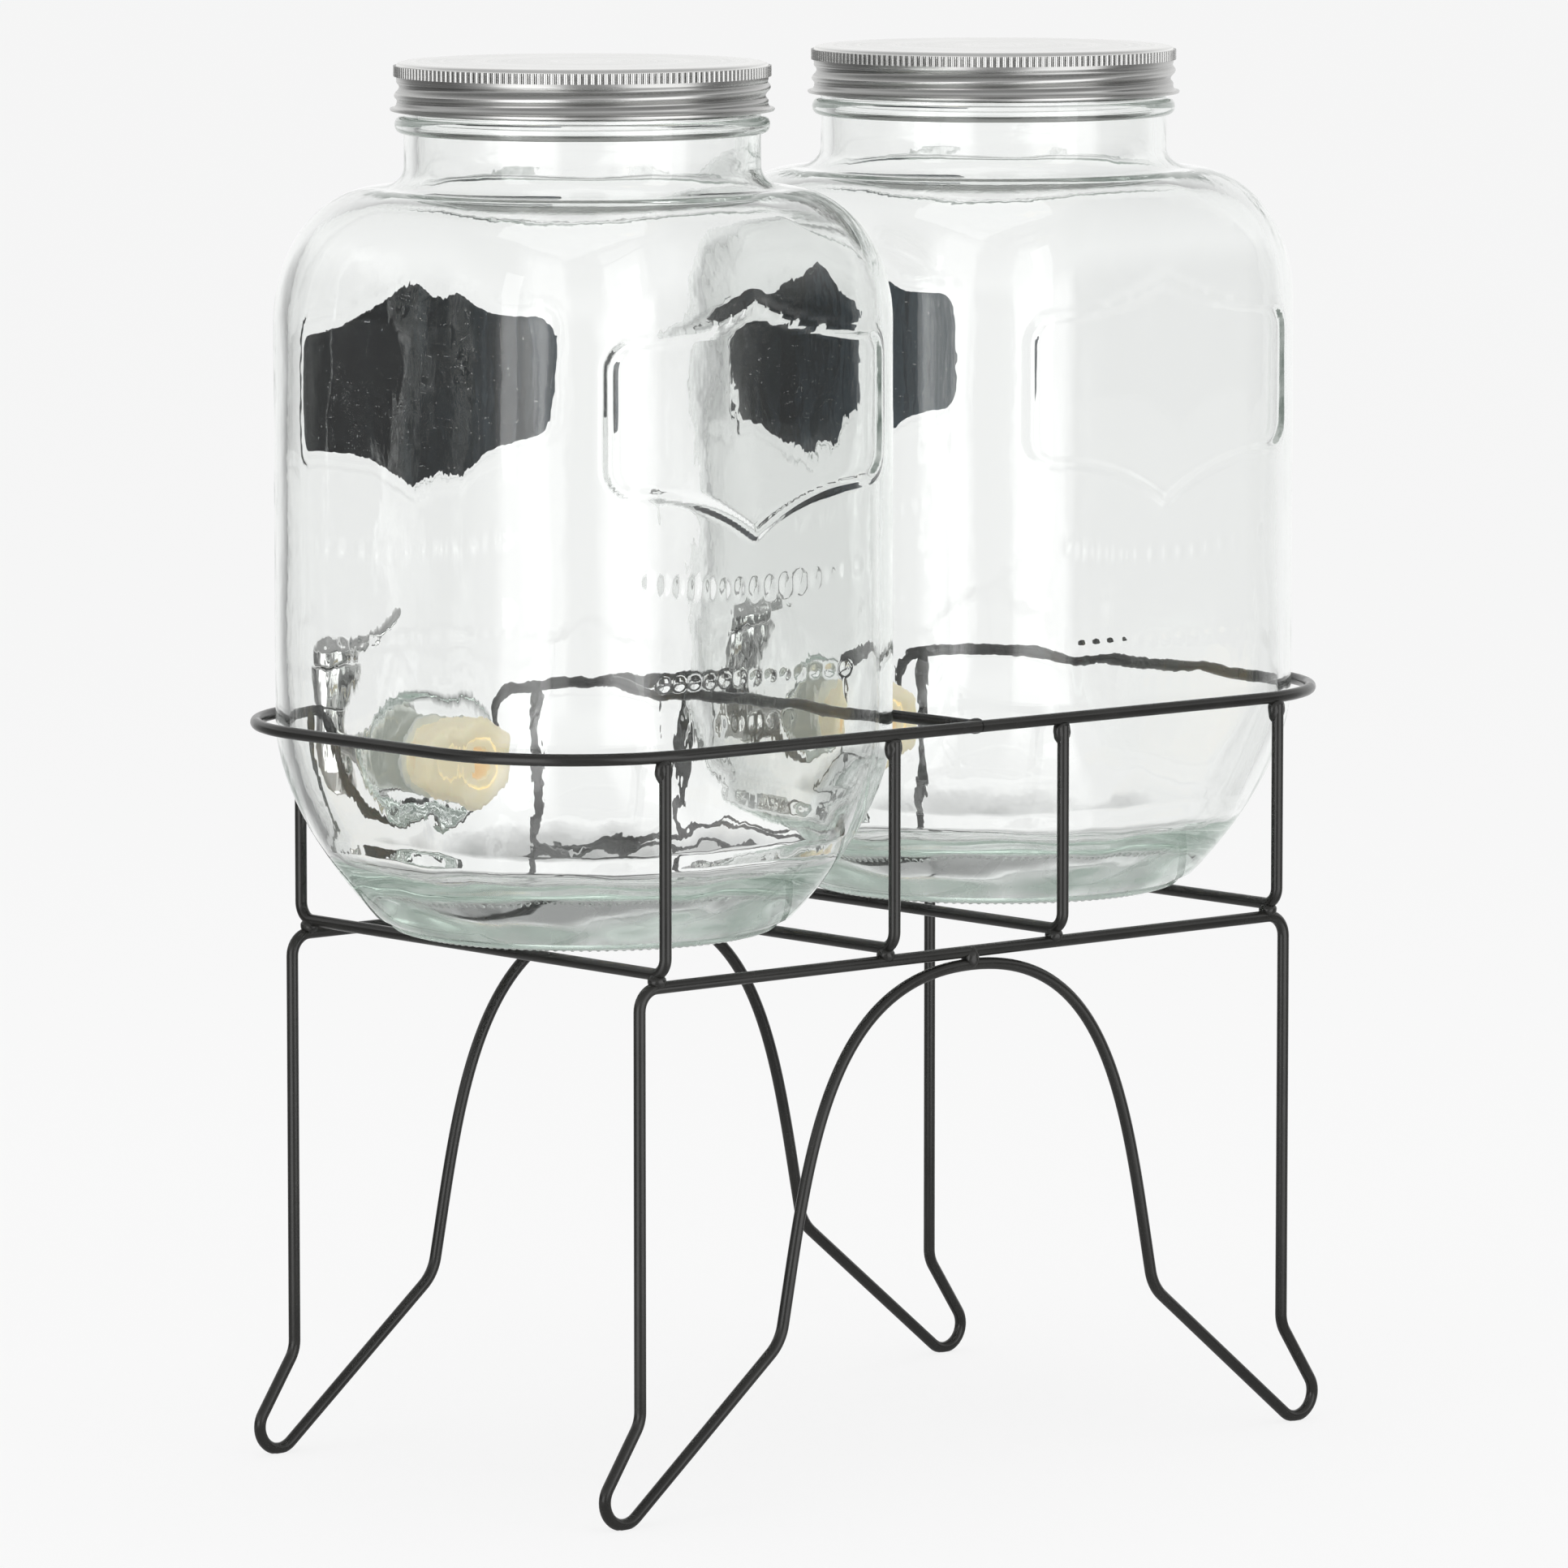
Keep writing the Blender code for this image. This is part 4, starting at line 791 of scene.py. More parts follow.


# Glass jar

# The painted glow after deep reflections, which stands in for missing light, in the base and above it, and
# how many reflections are deep
INNER_GLOW, DEEP_BOUNCE = (0.50, 0.34), 3.5
GLASS_BODY, GLASS_DENSITY = (0.42, 0.60, 0.50, 1.0), 5.5
# Dark and light tones of the painted glow in the glass, mottled like marble
PAINTED_GLOW_TONES = ((0.20, 0.25, 0.22), (0.84, 0.86, 0.84))
# How far the painted reflection on a label reaches, and its stops: a place and how much paler it is there
LABEL_REFLECTION_REACH = {"right": 0.5, "left": 0.74}
LABEL_REFLECTION_STOPS = ((0.0, 0.7), (0.42, 1.0), (0.62, 2.2), (0.80, 4.0), (0.97, 9.0))
CHALK_DUST = (0.75, 0.77, 0.78)
LABEL_INSET, LABEL_ROWS = 0.0038, 40
# The angle to either side of a face's middle with close lines, and how many lines there and between
FACE_ANGLE, FACE_LINES, SIDE_LINES = math.radians(39.0), 100, 44
# Levels up the body, each with the number of rings, both ends counted, from the level before
BODY_LEVELS = ((0.020, 9), (0.070, 34), (0.197, 134))
# Rows of beads: beads to each side, spacing, drop below the shield, sag, half width, half height, rise
BEAD_ROWS = ((7, 0.0058, 0.0135, 2.6, 0.0017, 0.0038, 0.00032),
             (6, 0.0058, 0.0395, 0.0, 0.0021, 0.0021, 0.00020),
             (2, 0.0066, 0.0525, 0.0, 0.0024, 0.0024, 0.00010))
# Wavelengths of the unevenness of the outside, the inside and the floor
SKIN_WAVES = (0.055, 0.028, 0.016)
INNER_WAVES = (0.070, 0.038, 0.022, 0.013)
FLOOR_WAVES = (0.050, 0.028, 0.015)
STUD_LIFT = 0.0005
RIM_ROUND = 0.001
BASE_SWELL = 1.25
BOWL_POWER = 2 / 2.6
FLOOR_WAVE = 0.0008
BASE_STUD = (0.0017, 0.0034, 0.0011)


def glass_finish(jar):
    """Clear moulded glass: nearly colourless, grey-green in depth, with a lively surface.

    After a few inner reflections it has a painted glow, mottled grey-green, for the light that further ones
    would bring.
    """
    finish, graph = new_finish("clear_glass", Base_Color=jar.tint, Roughness=0.0, IOR=1.5,
                               Transmission_Weight=1.0)
    vector = graph.place()
    fine = graph.speckle(graph.place(stretch=(1.0, 1.0, 0.45)), 210.0, 2.0, 0.5)
    swirl = graph.speckle(vector, 60.0, 2.0, 0.4)
    graph.bump(graph.math("ADD", swirl, graph.math("MULTIPLY", fine, 0.30)), 0.00035, 0.30)
    base, level = corners_of("jar_glass_right")[0].z, graph.parts(vector)["Z"]
    ground = graph.remap(level, base + 0.0022, base + 0.0034, 1.0, 0.0)
    mottle = graph.spread(graph.speckle(vector, 85.0, 4.0, 0.55), 0.10, 0.42)
    graph.feed("Roughness", graph.math("MULTIPLY", ground, mottle))
    # Painted glow: mottled emission after deep reflections, stronger above the base
    cloud = graph.speckle(graph.place(stretch=(1.0, 1.0, 2.2)), 42.0, 5.0, 0.62)
    graph.feed("Emission Color", graph.tone(graph.spread(cloud, -0.3, 1.3), *PAINTED_GLOW_TONES))
    deep = graph.math("GREATER_THAN", graph.add("ShaderNodeLightPath").outputs["Glossy Depth"], DEEP_BOUNCE)
    glow = graph.remap(level, base + 0.025, base + 0.060, *INNER_GLOW)
    graph.feed("Emission Strength", graph.math("MULTIPLY", deep, glow))
    body = graph.add("ShaderNodeVolumeAbsorption", (("Color", GLASS_BODY), ("Density", GLASS_DENSITY)))
    output = finish.node_tree.nodes["Material Output"]
    graph.tree.links.new(body.outputs["Volume"], output.inputs["Volume"])
    return finish


def chalk_finish(jar, side):
    """Slate chalkboard with a painted reflection that pales it in bands towards one end, and chalk specks."""
    finish, graph = new_finish(f"chalkboard_{side}", Roughness=0.5, Specular_IOR_Level=0.12)
    vector = graph.place(jar_place(side))
    # Painted reflection: streaky bands that pale the label towards one end
    reflection_bands = graph.speckle(graph.place(jar_place(side), (1.0, 0.2, 0.12)), 95.0, 4.0, 0.6)
    across = graph.math("MULTIPLY", graph.parts(vector)["X"], -10.0)
    shifted = graph.math("ADD", across, graph.spread(reflection_bands, -0.32, 0.32))
    reflection_ramp = graph.add("ShaderNodeValToRGB", (("Fac", graph.math("ADD", shifted, LABEL_REFLECTION_REACH[side])),))
    set_stops(reflection_ramp.color_ramp, [(place, scaled(jar.chalk, factor)) for place, factor in LABEL_REFLECTION_STOPS])
    fleck = graph.remap(graph.speckle(vector, 1100.0, 1.0), 0.73, 0.78)
    graph.feed("Base Color", graph.tone(fleck, reflection_ramp.outputs["Color"], CHALK_DUST))
    graph.feed("Roughness", graph.spread(graph.speckle(vector, 24.0, 4.0), 0.42, 0.60))
    graph.bump(graph.speckle(vector, 1400.0, 3.0), 0.00005, 0.5)
    return finish


def polar_reach(half, corner, angles):
    """How far a level square with round corners reaches from its middle at each angle."""
    fold = np.abs((angles + math.pi / 4) % (math.pi / 2) - math.pi / 4)
    cosine, sine = np.cos(fold), np.sin(fold)
    inset = half - corner
    total = inset * (cosine + sine)
    arc = total + np.sqrt(np.maximum(total**2 - (2 * inset**2 - corner**2), 0.0))
    return np.where(half * np.tan(fold) <= inset, half / cosine, arc)


def jar_angles():
    """Directions of the jar's upright lines, close together on the front and rear faces."""
    side = math.pi / 2 - FACE_ANGLE
    angles = []
    for middle in (0.0, math.pi):
        angles.append(middle - side + 2 * side * np.arange(SIDE_LINES) / SIDE_LINES)
        angles.append(middle + side + 2 * FACE_ANGLE * np.arange(FACE_LINES) / FACE_LINES)
    return np.concatenate(angles)


def body_ring(jar, radius, face_share, corner_share):
    """Half width and corner radius of a ring between a circle and the full square."""
    slant = math.sqrt(2.0)
    diagonal_full = slant * (jar.half - jar.corner) + jar.corner
    half = radius + (jar.half - radius) * face_share
    diagonal = radius + (diagonal_full - radius) * corner_share
    return half, min(half, (slant * half - diagonal) / (slant - 1))


def heel_ring(jar, level):
    """The heel's ring at a level."""
    left = max(0.0, 1 - level / jar.heel_height)
    return body_ring(jar, jar.base_radius, 1 - left**3.0, 1 - left**1.8)


def shoulder_rows(jar, steps):
    """The shoulder's rings on a quarter of an ellipse, then the fillet up into the neck."""
    kept = jar.fillet_share
    rise, lift = jar.shoulder_top - jar.shoulder_start, jar.neck_start - jar.shoulder_top
    path = [(kept + (1 - kept) * cosine, jar.shoulder_start + rise * sine) for sine, cosine in quarter(steps)]
    path += [(kept * (1 - sine), jar.shoulder_top + lift * (1 - cosine))
             for sine, cosine in quarter(max(3, steps // 3))[1:]]
    return [(*body_ring(jar, jar.neck_radius, left, left), level) for left, level in path]


def neck_circles(jar):
    """The neck, its bead and its thread, up to the rim, as (radius, level) pairs."""
    neck, low = jar.neck_radius, jar.bead_low
    circles = [(neck, low - 0.0025)]
    for step in range(9):
        angle = math.pi * step / 8
        circles.append((neck + (jar.bead_radius - neck) * math.sin(angle) ** 0.6,
                        low + jar.bead_height * (1 - math.cos(angle)) / 2))
    thread = np.linspace(jar.thread_start, jar.thread_start + jar.thread_height, 18)
    circles += [(neck, level) for level in thread]
    circles += [(neck - RIM_ROUND * (1 - cosine), jar.height - RIM_ROUND + RIM_ROUND * sine)
                for sine, cosine in quarter(3)]
    return circles


def base_circles(jar):
    """The underside from the punt out to the base's rounded rim, as (radius, level) pairs."""
    bearing = jar.base_radius - jar.base_edge
    inner, flat_end = bearing - jar.bearing, bearing - RIM_ROUND
    punt = (inner * 0.25, inner * 0.5, inner * 0.75, inner - 0.003)
    circles = [(reach, jar.punt + STUD_LIFT) for reach in punt]
    circles += [(inner, STUD_LIFT), (flat_end, STUD_LIFT)]
    circles += [(flat_end + (jar.base_edge + RIM_ROUND) * sine,
                 STUD_LIFT + (jar.base_edge - STUD_LIFT) * (1 - cosine)) for sine, cosine in quarter(4)[1:]]
    return circles


def outer_rows(jar):
    """Half width, corner and level of the jar's outer rings, from the punt to the rim."""
    rows = [(reach, reach, level) for reach, level in base_circles(jar)]
    start = jar.base_edge
    for end, steps in BODY_LEVELS:
        levels = [level for level in np.linspace(start, end, steps)[1:] if level < jar.shoulder_start]
        rows += [(*heel_ring(jar, level), level) for level in levels]
        start = end
    rows += shoulder_rows(jar, 30)
    return rows + [(reach, reach, level) for reach, level in neck_circles(jar)]


def inner_rows(jar):
    """Half width, corner and level of the jar's inner rings, from the rim to the floor."""
    mouth = jar.neck_radius - jar.wall
    circles = [(mouth + RIM_ROUND, jar.height), (mouth + 0.0003, jar.height - 0.0004),
               (mouth, jar.height - RIM_ROUND)]
    circles += [(mouth, level) for level in np.linspace(jar.height - 0.003, jar.neck_start + 0.002, 6)]
    rows = [(reach, reach, level) for reach, level in circles]
    rows += reversed(drawn_in(shoulder_rows(jar, 24), jar.wall))
    levels = list(np.linspace(jar.shoulder_start - 0.008, jar.heel_height, 14))
    for level in levels + list(np.linspace(jar.heel_height, jar.bowl, 16)[1:]):
        half, corner = heel_ring(jar, level)
        part = smooth_step((jar.heel_height - level) / (jar.heel_height - jar.bowl))
        thick = jar.wall * (1 + (BASE_SWELL - 1) * part)
        rows.append((half - thick, corner - thick, level))
    return rows + bowl_rows(jar)


def drawn_in(rows, depth):
    """Rings moved inwards along the profile's own normal."""
    inner = []
    for index, (half, corner, level) in enumerate(rows):
        before, after = rows[max(index - 1, 0)], rows[min(index + 1, len(rows) - 1)]
        across, up = after[0] - before[0], after[2] - before[2]
        size = math.hypot(across, up)
        aside, below = depth * up / size, depth * across / size
        inner.append((half - aside, corner - aside, level + below))
    return inner


def bowl_rows(jar):
    """The inside of the heavy base: a dished floor that rises into the wall."""
    half, corner = (size - jar.wall * BASE_SWELL for size in heel_ring(jar, jar.bowl))
    rows = []
    for sine, cosine in quarter(22)[1:-1]:
        reach, drop = cosine**BOWL_POWER, sine**BOWL_POWER
        roundness = corner / half + (1 - corner / half) * drop
        rows.append((half * reach, half * reach * roundness, jar.bowl - (jar.bowl - jar.floor) * drop))
    return rows


def row_points(rows, angles):
    """Points of every ring as an array: rows, angles, XYZ."""
    grid = np.zeros((len(rows), len(angles), 3))
    for index, (half, corner, level) in enumerate(rows):
        reach = polar_reach(half, corner, angles)
        grid[index, :, 0] = reach * np.cos(angles)
        grid[index, :, 1] = reach * np.sin(angles)
        grid[index, :, 2] = level
    return grid


def level_normals(grid):
    """Outward directions of the rings in their own planes."""
    along = np.roll(grid, -1, axis=1) - np.roll(grid, 1, axis=1)
    normals = np.stack([along[..., 1], -along[..., 0], np.zeros(along.shape[:2])], axis=-1)
    size = np.linalg.norm(normals, axis=-1, keepdims=True)
    return normals / np.maximum(size, 1e-12)


def waves(points, seed, wavelengths, stretch):
    """A smooth unevenness between about -1 and 1, from crossing waves."""
    chance = np.random.RandomState(seed)
    total = np.zeros(points.shape[:2])
    weight = 0.0
    for wavelength in wavelengths:
        for _ in range(5):
            direction = chance.normal(size=3)
            direction[2] *= stretch
            direction /= np.linalg.norm(direction)
            phase = chance.uniform(0, TURN)
            total += wavelength * np.sin(points @ (direction * TURN / wavelength) + phase)
            weight += wavelength
    return total / weight * 2.5


def shield_line(half_width, side, top, foot, corner):
    """A shield as (x, z) points round its middle, with hollow curves up and down to its tips."""
    line, curve_steps = [], 16
    for sign, tip in ((1, top), (-1, foot)):
        run, rise = half_width - corner, tip - side
        half = [(run + corner * cosine, side - corner + corner * sine) for sine, cosine in quarter(8)]
        start, hinge, end = Vector((run, side)), Vector((run * 0.42, side + rise * 0.06)), Vector((0.0, tip))
        for step in range(1, curve_steps + 1):
            t = step / curve_steps
            half.append(tuple(start * (1 - t) ** 2 + hinge * (2 * t * (1 - t)) + end * t * t))
        half += [(-x, z) for x, z in reversed(half[:-1])]
        line += [(sign * x, sign * z) for x, z in half]
    return np.array(line)


def distance_to_line(x, z, line):
    """Distance of points from a closed line."""
    best = np.full(x.shape, 1.0)
    for start, end in zip(line, np.roll(line, -1, axis=0)):
        step = end - start
        size = max(float(step @ step), 1e-12)
        part = np.clip(((x - start[0]) * step[0] + (z - start[1]) * step[1]) / size, 0.0, 1.0)
        gap = np.hypot(x - start[0] - part * step[0], z - start[1] - part * step[1])
        best = np.minimum(best, gap)
    return best


def bead_places(jar):
    """Raised beads in three rows under the shield: (x, z, half width, half height, rise) of each."""
    foot = jar.shield_height - jar.shield_foot
    beads = []
    for last, spacing, drop, sag, wide, tall, rise in BEAD_ROWS:
        for step in range(-last, last + 1):
            x = step * spacing
            beads.append((x, foot - drop + sag * x * x, wide, tall, rise))
    return beads


def relief(jar, grid):
    """Height of the ribs and beads on the jar's front and rear."""
    x, z = grid[..., 0], grid[..., 2]
    shield = (jar.shield_half_width, jar.shield_side, jar.shield_top, jar.shield_foot, jar.shield_corner)
    rib = shield_line(*(size - jar.rib_width / 2 for size in shield))
    gap = distance_to_line(x, z - jar.shield_height, rib)
    total = jar.rib_rise * np.cos(np.clip(gap / (jar.rib_width * 0.62), 0.0, 1.0) * math.pi / 2) ** 2
    for bead_x, bead_z, wide, tall, rise in bead_places(jar):
        far = ((x - bead_x) / wide) ** 2 + ((z - bead_z) / tall) ** 2
        total = np.maximum(total, rise * np.clip(1 - far, 0.0, 1.0) ** 1.1)
    return np.where(np.abs(grid[..., 1]) > jar.half * 0.6, total, 0.0)


def smooth_step(value):
    """0 to 1 with gentle ends."""
    value = np.clip(value, 0.0, 1.0)
    return value * value * (3 - 2 * value)


def press_flat(jar, grid, height, face):
    """Press a round flat into the front of the jar at the tap's height."""
    far = np.hypot(grid[..., 0], grid[..., 2] - height)
    keep = smooth_step((far - jar.boss_radius) / jar.boss_blend)
    near = (grid[..., 1] < -jar.half * 0.55) & (far < jar.boss_radius + jar.boss_blend)
    grid[..., 1] = np.where(near, grid[..., 1] * keep - face * (1 - keep), grid[..., 1])


def outer_grid(jar, angles, tap_height):
    """The jar's outside with its unevenness, ribs, beads, thread and boss."""
    grid = row_points(outer_rows(jar), angles)
    normals = level_normals(grid)
    body = ((grid[..., 2] > 0.004) & (grid[..., 2] < jar.neck_start))[..., None]
    skin = waves(grid, 3, SKIN_WAVES, 0.6)[..., None] * jar.skin_wave
    grid += normals * np.where(body, skin, 0.0)
    grid += normals * relief(jar, grid)[..., None]
    wave_thread(jar, grid, angles)
    press_flat(jar, grid, tap_height, jar.half + jar.boss_rise)
    return grid


def inner_grid(jar, angles, tap_height):
    """The jar's inside with its unevenness and the pad round the tap hole."""
    grid = row_points(inner_rows(jar), angles)
    normals = level_normals(grid)
    fade = smooth_step((jar.neck_start - grid[..., 2]) / 0.03)[..., None]
    grid += normals * fade * (waves(grid, 11, INNER_WAVES, 0.55)[..., None] * jar.wave)
    low = smooth_step((jar.bowl - grid[..., 2]) / 0.010)
    grid[..., 2] += low * waves(grid, 5, FLOOR_WAVES, 0.4) * FLOOR_WAVE
    press_flat(jar, grid, tap_height, jar.half - jar.pad_depth)
    return grid


def jar_mesh(name, jar, place, tap_height):
    """The whole jar as one closed mesh, with its tap hole."""
    angles = jar_angles()
    rings = np.concatenate([outer_grid(jar, angles, tap_height), inner_grid(jar, angles, tap_height)])
    shell = loft(name, list(rings + np.array(place)))
    ends = (-jar.half - 0.006, -jar.half + jar.pad_depth + 0.004)
    hole = turned(name + "_hole", [(jar.hole_radius, end) for end in ends],
                  place + Vector((0.0, 0.0, tap_height)), 48, along_y=True)
    return joined(name, shell, [(hole, "DIFFERENCE")])


def wave_thread(jar, grid, angles):
    """Raise the right-handed thread on the neck."""
    level = grid[..., 2]
    part = (level - jar.thread_start) / jar.thread_height
    fade = np.sqrt(np.sin(math.pi * np.clip(part, 0.0, 1.0)))
    wave = np.cos(TURN * level / jar.thread_pitch - angles[None, :])
    lift = jar.thread_radius - jar.neck_radius + jar.thread_depth * wave * fade
    unit = np.stack([np.cos(angles), np.sin(angles), np.zeros_like(angles)], axis=-1)[None, ...]
    grid += np.where((part > 0) & (part < 1), lift * fade, 0.0)[..., None] * unit


def chalk_mesh(name, jar, place):
    """The chalkboard label: a thin plate that follows the jar's front inside the rib."""
    outline = shield_line(jar.shield_half_width - LABEL_INSET, jar.label_side, jar.label_tip, jar.label_tip,
                          jar.shield_corner - LABEL_INSET)
    rings = [outline * math.sqrt(row / LABEL_ROWS) for row in range(1, LABEL_ROWS + 1)]
    near, far = ([on_front(jar, ring, offset, place) for ring in rings] for offset in (-0.0002, 0.0008))
    return loft(name, near + far[::-1])


def body_at(jar, level):
    """Half width and corner of the jar's outside at a level of its body or shoulder."""
    if level <= jar.shoulder_start:
        return heel_ring(jar, level)
    climb = (level - jar.shoulder_start) / (jar.shoulder_top - jar.shoulder_start)
    left = jar.fillet_share + (1 - jar.fillet_share) * math.sqrt(max(0.0, 1 - climb * climb))
    return body_ring(jar, jar.neck_radius, left, left)


def on_front(jar, ring, offset, place):
    """Points of a flat ring laid on the jar's front at an offset from its surface."""
    points = []
    for x, z in ring:
        half, corner = body_at(jar, jar.label_height + z)
        straight, reach = half - corner, corner + offset
        over = min(reach, max(0.0, abs(x) - straight))
        points.append(Vector((x, -straight - math.sqrt(reach**2 - over**2), jar.label_height + z)) + place)
    return points


class DISPENSER_OT_jars(bpy.types.Operator):
    """Make the glass jars, their base studs and their chalkboard labels"""
    bl_idname = "dispenser.jars"
    bl_label = "Glass Jars"

    def execute(self, context):
        jar = context.scene.dispenser_jar
        glass = glass_finish(jar)
        stud_ring = jar.base_radius - jar.base_edge - jar.bearing * 0.32
        for side in SIDES:
            place = jar_place(side)
            body = jar_mesh(f"glass_{side}", jar, place, valve_place(side).z - place.z)
            settle(new_piece(f"glass_{side}", body, glass), f"jar_{side}", "glass", f"jar_glass_{side}")
            studs = ring_of_studs(f"base_studs_{side}", place + Vector((0.0, 0.0, 0.00056)), BASE_STUD,
                                  jar.stipples, stud_ring, glass)
            settle(studs, f"jar_{side}", "glass")
            label = chalk_mesh(f"chalk_label_{side}", jar, place)
            settle(new_piece(f"chalk_label_{side}", label, chalk_finish(jar, side)), f"jar_{side}", "chalk",
                   f"chalk_panel_{side}")
        return {"FINISHED"}


# Screw lid

LID_STEPS, LID_ROWS = 256, 34
# Parts of the skirt over which the thread grows at its upper end and fades at its lower end
THREAD_GROWS, THREAD_FADES = 0.18, 0.22
# Painted shade on the metal at the crests, and how much more there is at the bottom of a groove
THREAD_SHADE, KNURL_SHADE = (0.36, 0.46), (0.22, 0.70)
LINER_TONES = ((0.80, 0.80, 0.78), (0.88, 0.88, 0.86))


def lid_finish(lid, side):
    """Spun aluminium: fine rings about the lid's axis, with painted shade on the skirt that deepens in the
    grooves, and a light flat top.
    """
    finish, graph = new_finish(f"spun_aluminium_{side}", Base_Color=lid.aluminium, Metallic=1.0,
                               Roughness=0.27)
    vector = graph.place(jar_place(side))
    parts = graph.parts(vector)
    line = graph.add("ShaderNodeCombineXYZ", (("X", graph.reach(parts)), ("Y", 0.0), ("Z", parts["Z"])))
    rings = graph.speckle(line.outputs[0], 1500.0, 4.0, 0.6)
    # Painted shade: the groove attribute darkens the skirt and its grooves, and the flat top stays light
    groove = graph.add("ShaderNodeAttribute", attribute_name="groove").outputs["Fac"]
    unshaded = graph.math("SUBTRACT", 1.0, groove)
    cloud = graph.spread(graph.speckle(vector, 40.0, 3.0), 0.93, 1.0)
    graph.feed("Base Color", graph.tone(graph.math("MULTIPLY", unshaded, cloud), scaled(lid.aluminium, 0.10),
                                        scaled(lid.aluminium, 1.06)))
    graph.feed("Roughness", graph.spread(rings, 0.22, 0.34))
    graph.bump(rings, 0.00002, 0.5)
    return finish


def lid_outline(lid, top, inner):
    """Plain (radius, level) points of the lid's outside, above its thread."""
    groove = lid.radius - lid.knurl_depth
    knurl_high = top - lid.knurl_top
    knurl_low = knurl_high - lid.knurl_height
    points = [(lid.flat * part, top) for part in (0.02, 0.5, 0.9, 1.0)]
    points += [(lid.flat + (groove - lid.flat) * sine, top - lid.knurl_top * (1 - cosine))
               for sine, cosine in quarter(6)[1:]]
    points += [(groove, knurl_high - lid.knurl_height * part) for part in (0.3, 0.7, 1.0)]
    points += [(inner + (groove - inner) * cosine, knurl_low - lid.waist * sine)
               for sine, cosine in quarter(5)[1:]]
    return points


def lid_rows(lid, top, inner):
    """(radius, level, thread's share) of the lid's rings: down its outside, then up its inside."""
    waist = top - lid.knurl_top - lid.knurl_height - lid.waist
    lip = top - lid.skirt
    flare_top = lip + lid.lip_height + lid.flare
    outline, metal = lid_outline(lid, top, inner), lid.metal
    parts = [row / LID_ROWS for row in range(1, LID_ROWS)]
    thread = [(waist + (flare_top - waist) * part, min(1.0, part / THREAD_GROWS, (1 - part) / THREAD_FADES))
              for part in parts]
    flare = [(inner + (lid.lip_radius - inner) * (1 - cosine), flare_top - lid.flare * sine)
             for sine, cosine in quarter(6)]
    flare += [(lid.lip_radius, lip + 0.0003), (lid.lip_radius - 0.0002, lip)]
    rows = [(*point, 0.0) for point in outline] + [(inner, *point) for point in thread]
    rows += [(*point, 0.0) for point in flare]
    rows += [(radius - metal, level + 0.0001, 0.0) for radius, level in reversed(flare)]
    rows += [(inner - metal, *point) for point in reversed(thread)]
    return rows + [(max(radius - metal, 0.001), min(level, top - metal), 0.0)
                   for radius, level in reversed(outline)]


def lid_mesh(name, lid, jar, place, top):
    """The lid's shell with its rolled thread and flared lip."""
    inner = jar.thread_radius + lid.clearance + lid.metal
    rings = []
    for radius, level, share in lid_rows(lid, top, inner):
        ring = []
        for step in range(LID_STEPS):
            angle = TURN * step / LID_STEPS
            reach = radius + jar.thread_depth * share * math.cos(TURN * level / jar.thread_pitch - angle)
            ring.append(Vector((reach * math.cos(angle), reach * math.sin(angle), level)) + place)
        rings.append(ring)
    mesh = loft(name, rings)
    depth = lid.lip_radius - inner + jar.thread_depth
    mark_grooves(mesh, place, lid.radius, depth, top - lid.knurl_top, *THREAD_SHADE)
    return mesh


def mark_grooves(mesh, place, crest, depth, ceiling, least, most):
    """Store how deep each point lies below the crests, for the painted shade in the grooves."""
    groove = mesh.attributes.new("groove", "FLOAT", "POINT")
    for value, vertex in zip(groove.data, mesh.vertices):
        reach = math.hypot(vertex.co.x - place.x, vertex.co.y - place.y)
        sunk = min(1.0, max(0.0, (crest - reach) / depth))
        value.value = least + most * sunk if vertex.co.z < place.z + ceiling else 0.0


class DISPENSER_OT_lids(bpy.types.Operator):
    """Make the screw lids with their knurled bands and liners"""
    bl_idname = "dispenser.lids"
    bl_label = "Screw Lids"

    def execute(self, context):
        lid, jar = context.scene.dispenser_lid, context.scene.dispenser_jar
        liner = cloudy_finish("white_liner", *LINER_TONES, (300.0, 3.0), (300.0, 3.0, 0.0001, 0.4),
                              Roughness=0.6)
        depth = lid.knurl_depth
        for side in SIDES:
            finish, place = lid_finish(lid, side), jar_place(side)
            top = corners_of(f"lid_shell_{side}")[1].z - place.z
            shell = new_piece(f"lid_{side}", lid_mesh(f"lid_{side}", lid, jar, place, top), finish)
            settle(shell, f"lid_{side}", "lid", f"lid_shell_{side}")
            middle = place + Vector((0.0, 0.0, top - lid.knurl_top - lid.knurl_height / 2))
            knurl = ring_of_studs(f"lid_knurl_{side}", middle, (lid.knurl_width, depth * 2, lid.knurl_height),
                                  lid.knurls, lid.radius - depth, finish, upright_bars=True)
            mark_grooves(knurl.data, place, lid.radius, depth, top, *KNURL_SHADE)
            settle(knurl, f"lid_{side}", "lid")
            paint_node(f"lid_liner_{side}", liner)
        return {"FINISHED"}


# Taps

EDGE_ROUND, SOFT_EDGE = 0.0009, 0.0006
FLANGE_BACK = 0.0026
FLAT_SHARE = 0.6
ARM_SIDES, NUT_SIDES = 24, 96
NUT_CREAM = (0.98, 0.92, 0.74)
# Amber of the painted shade in the nut's hollows
NUT_HOLLOW_SHADE = (0.62, 0.38, 0.13)
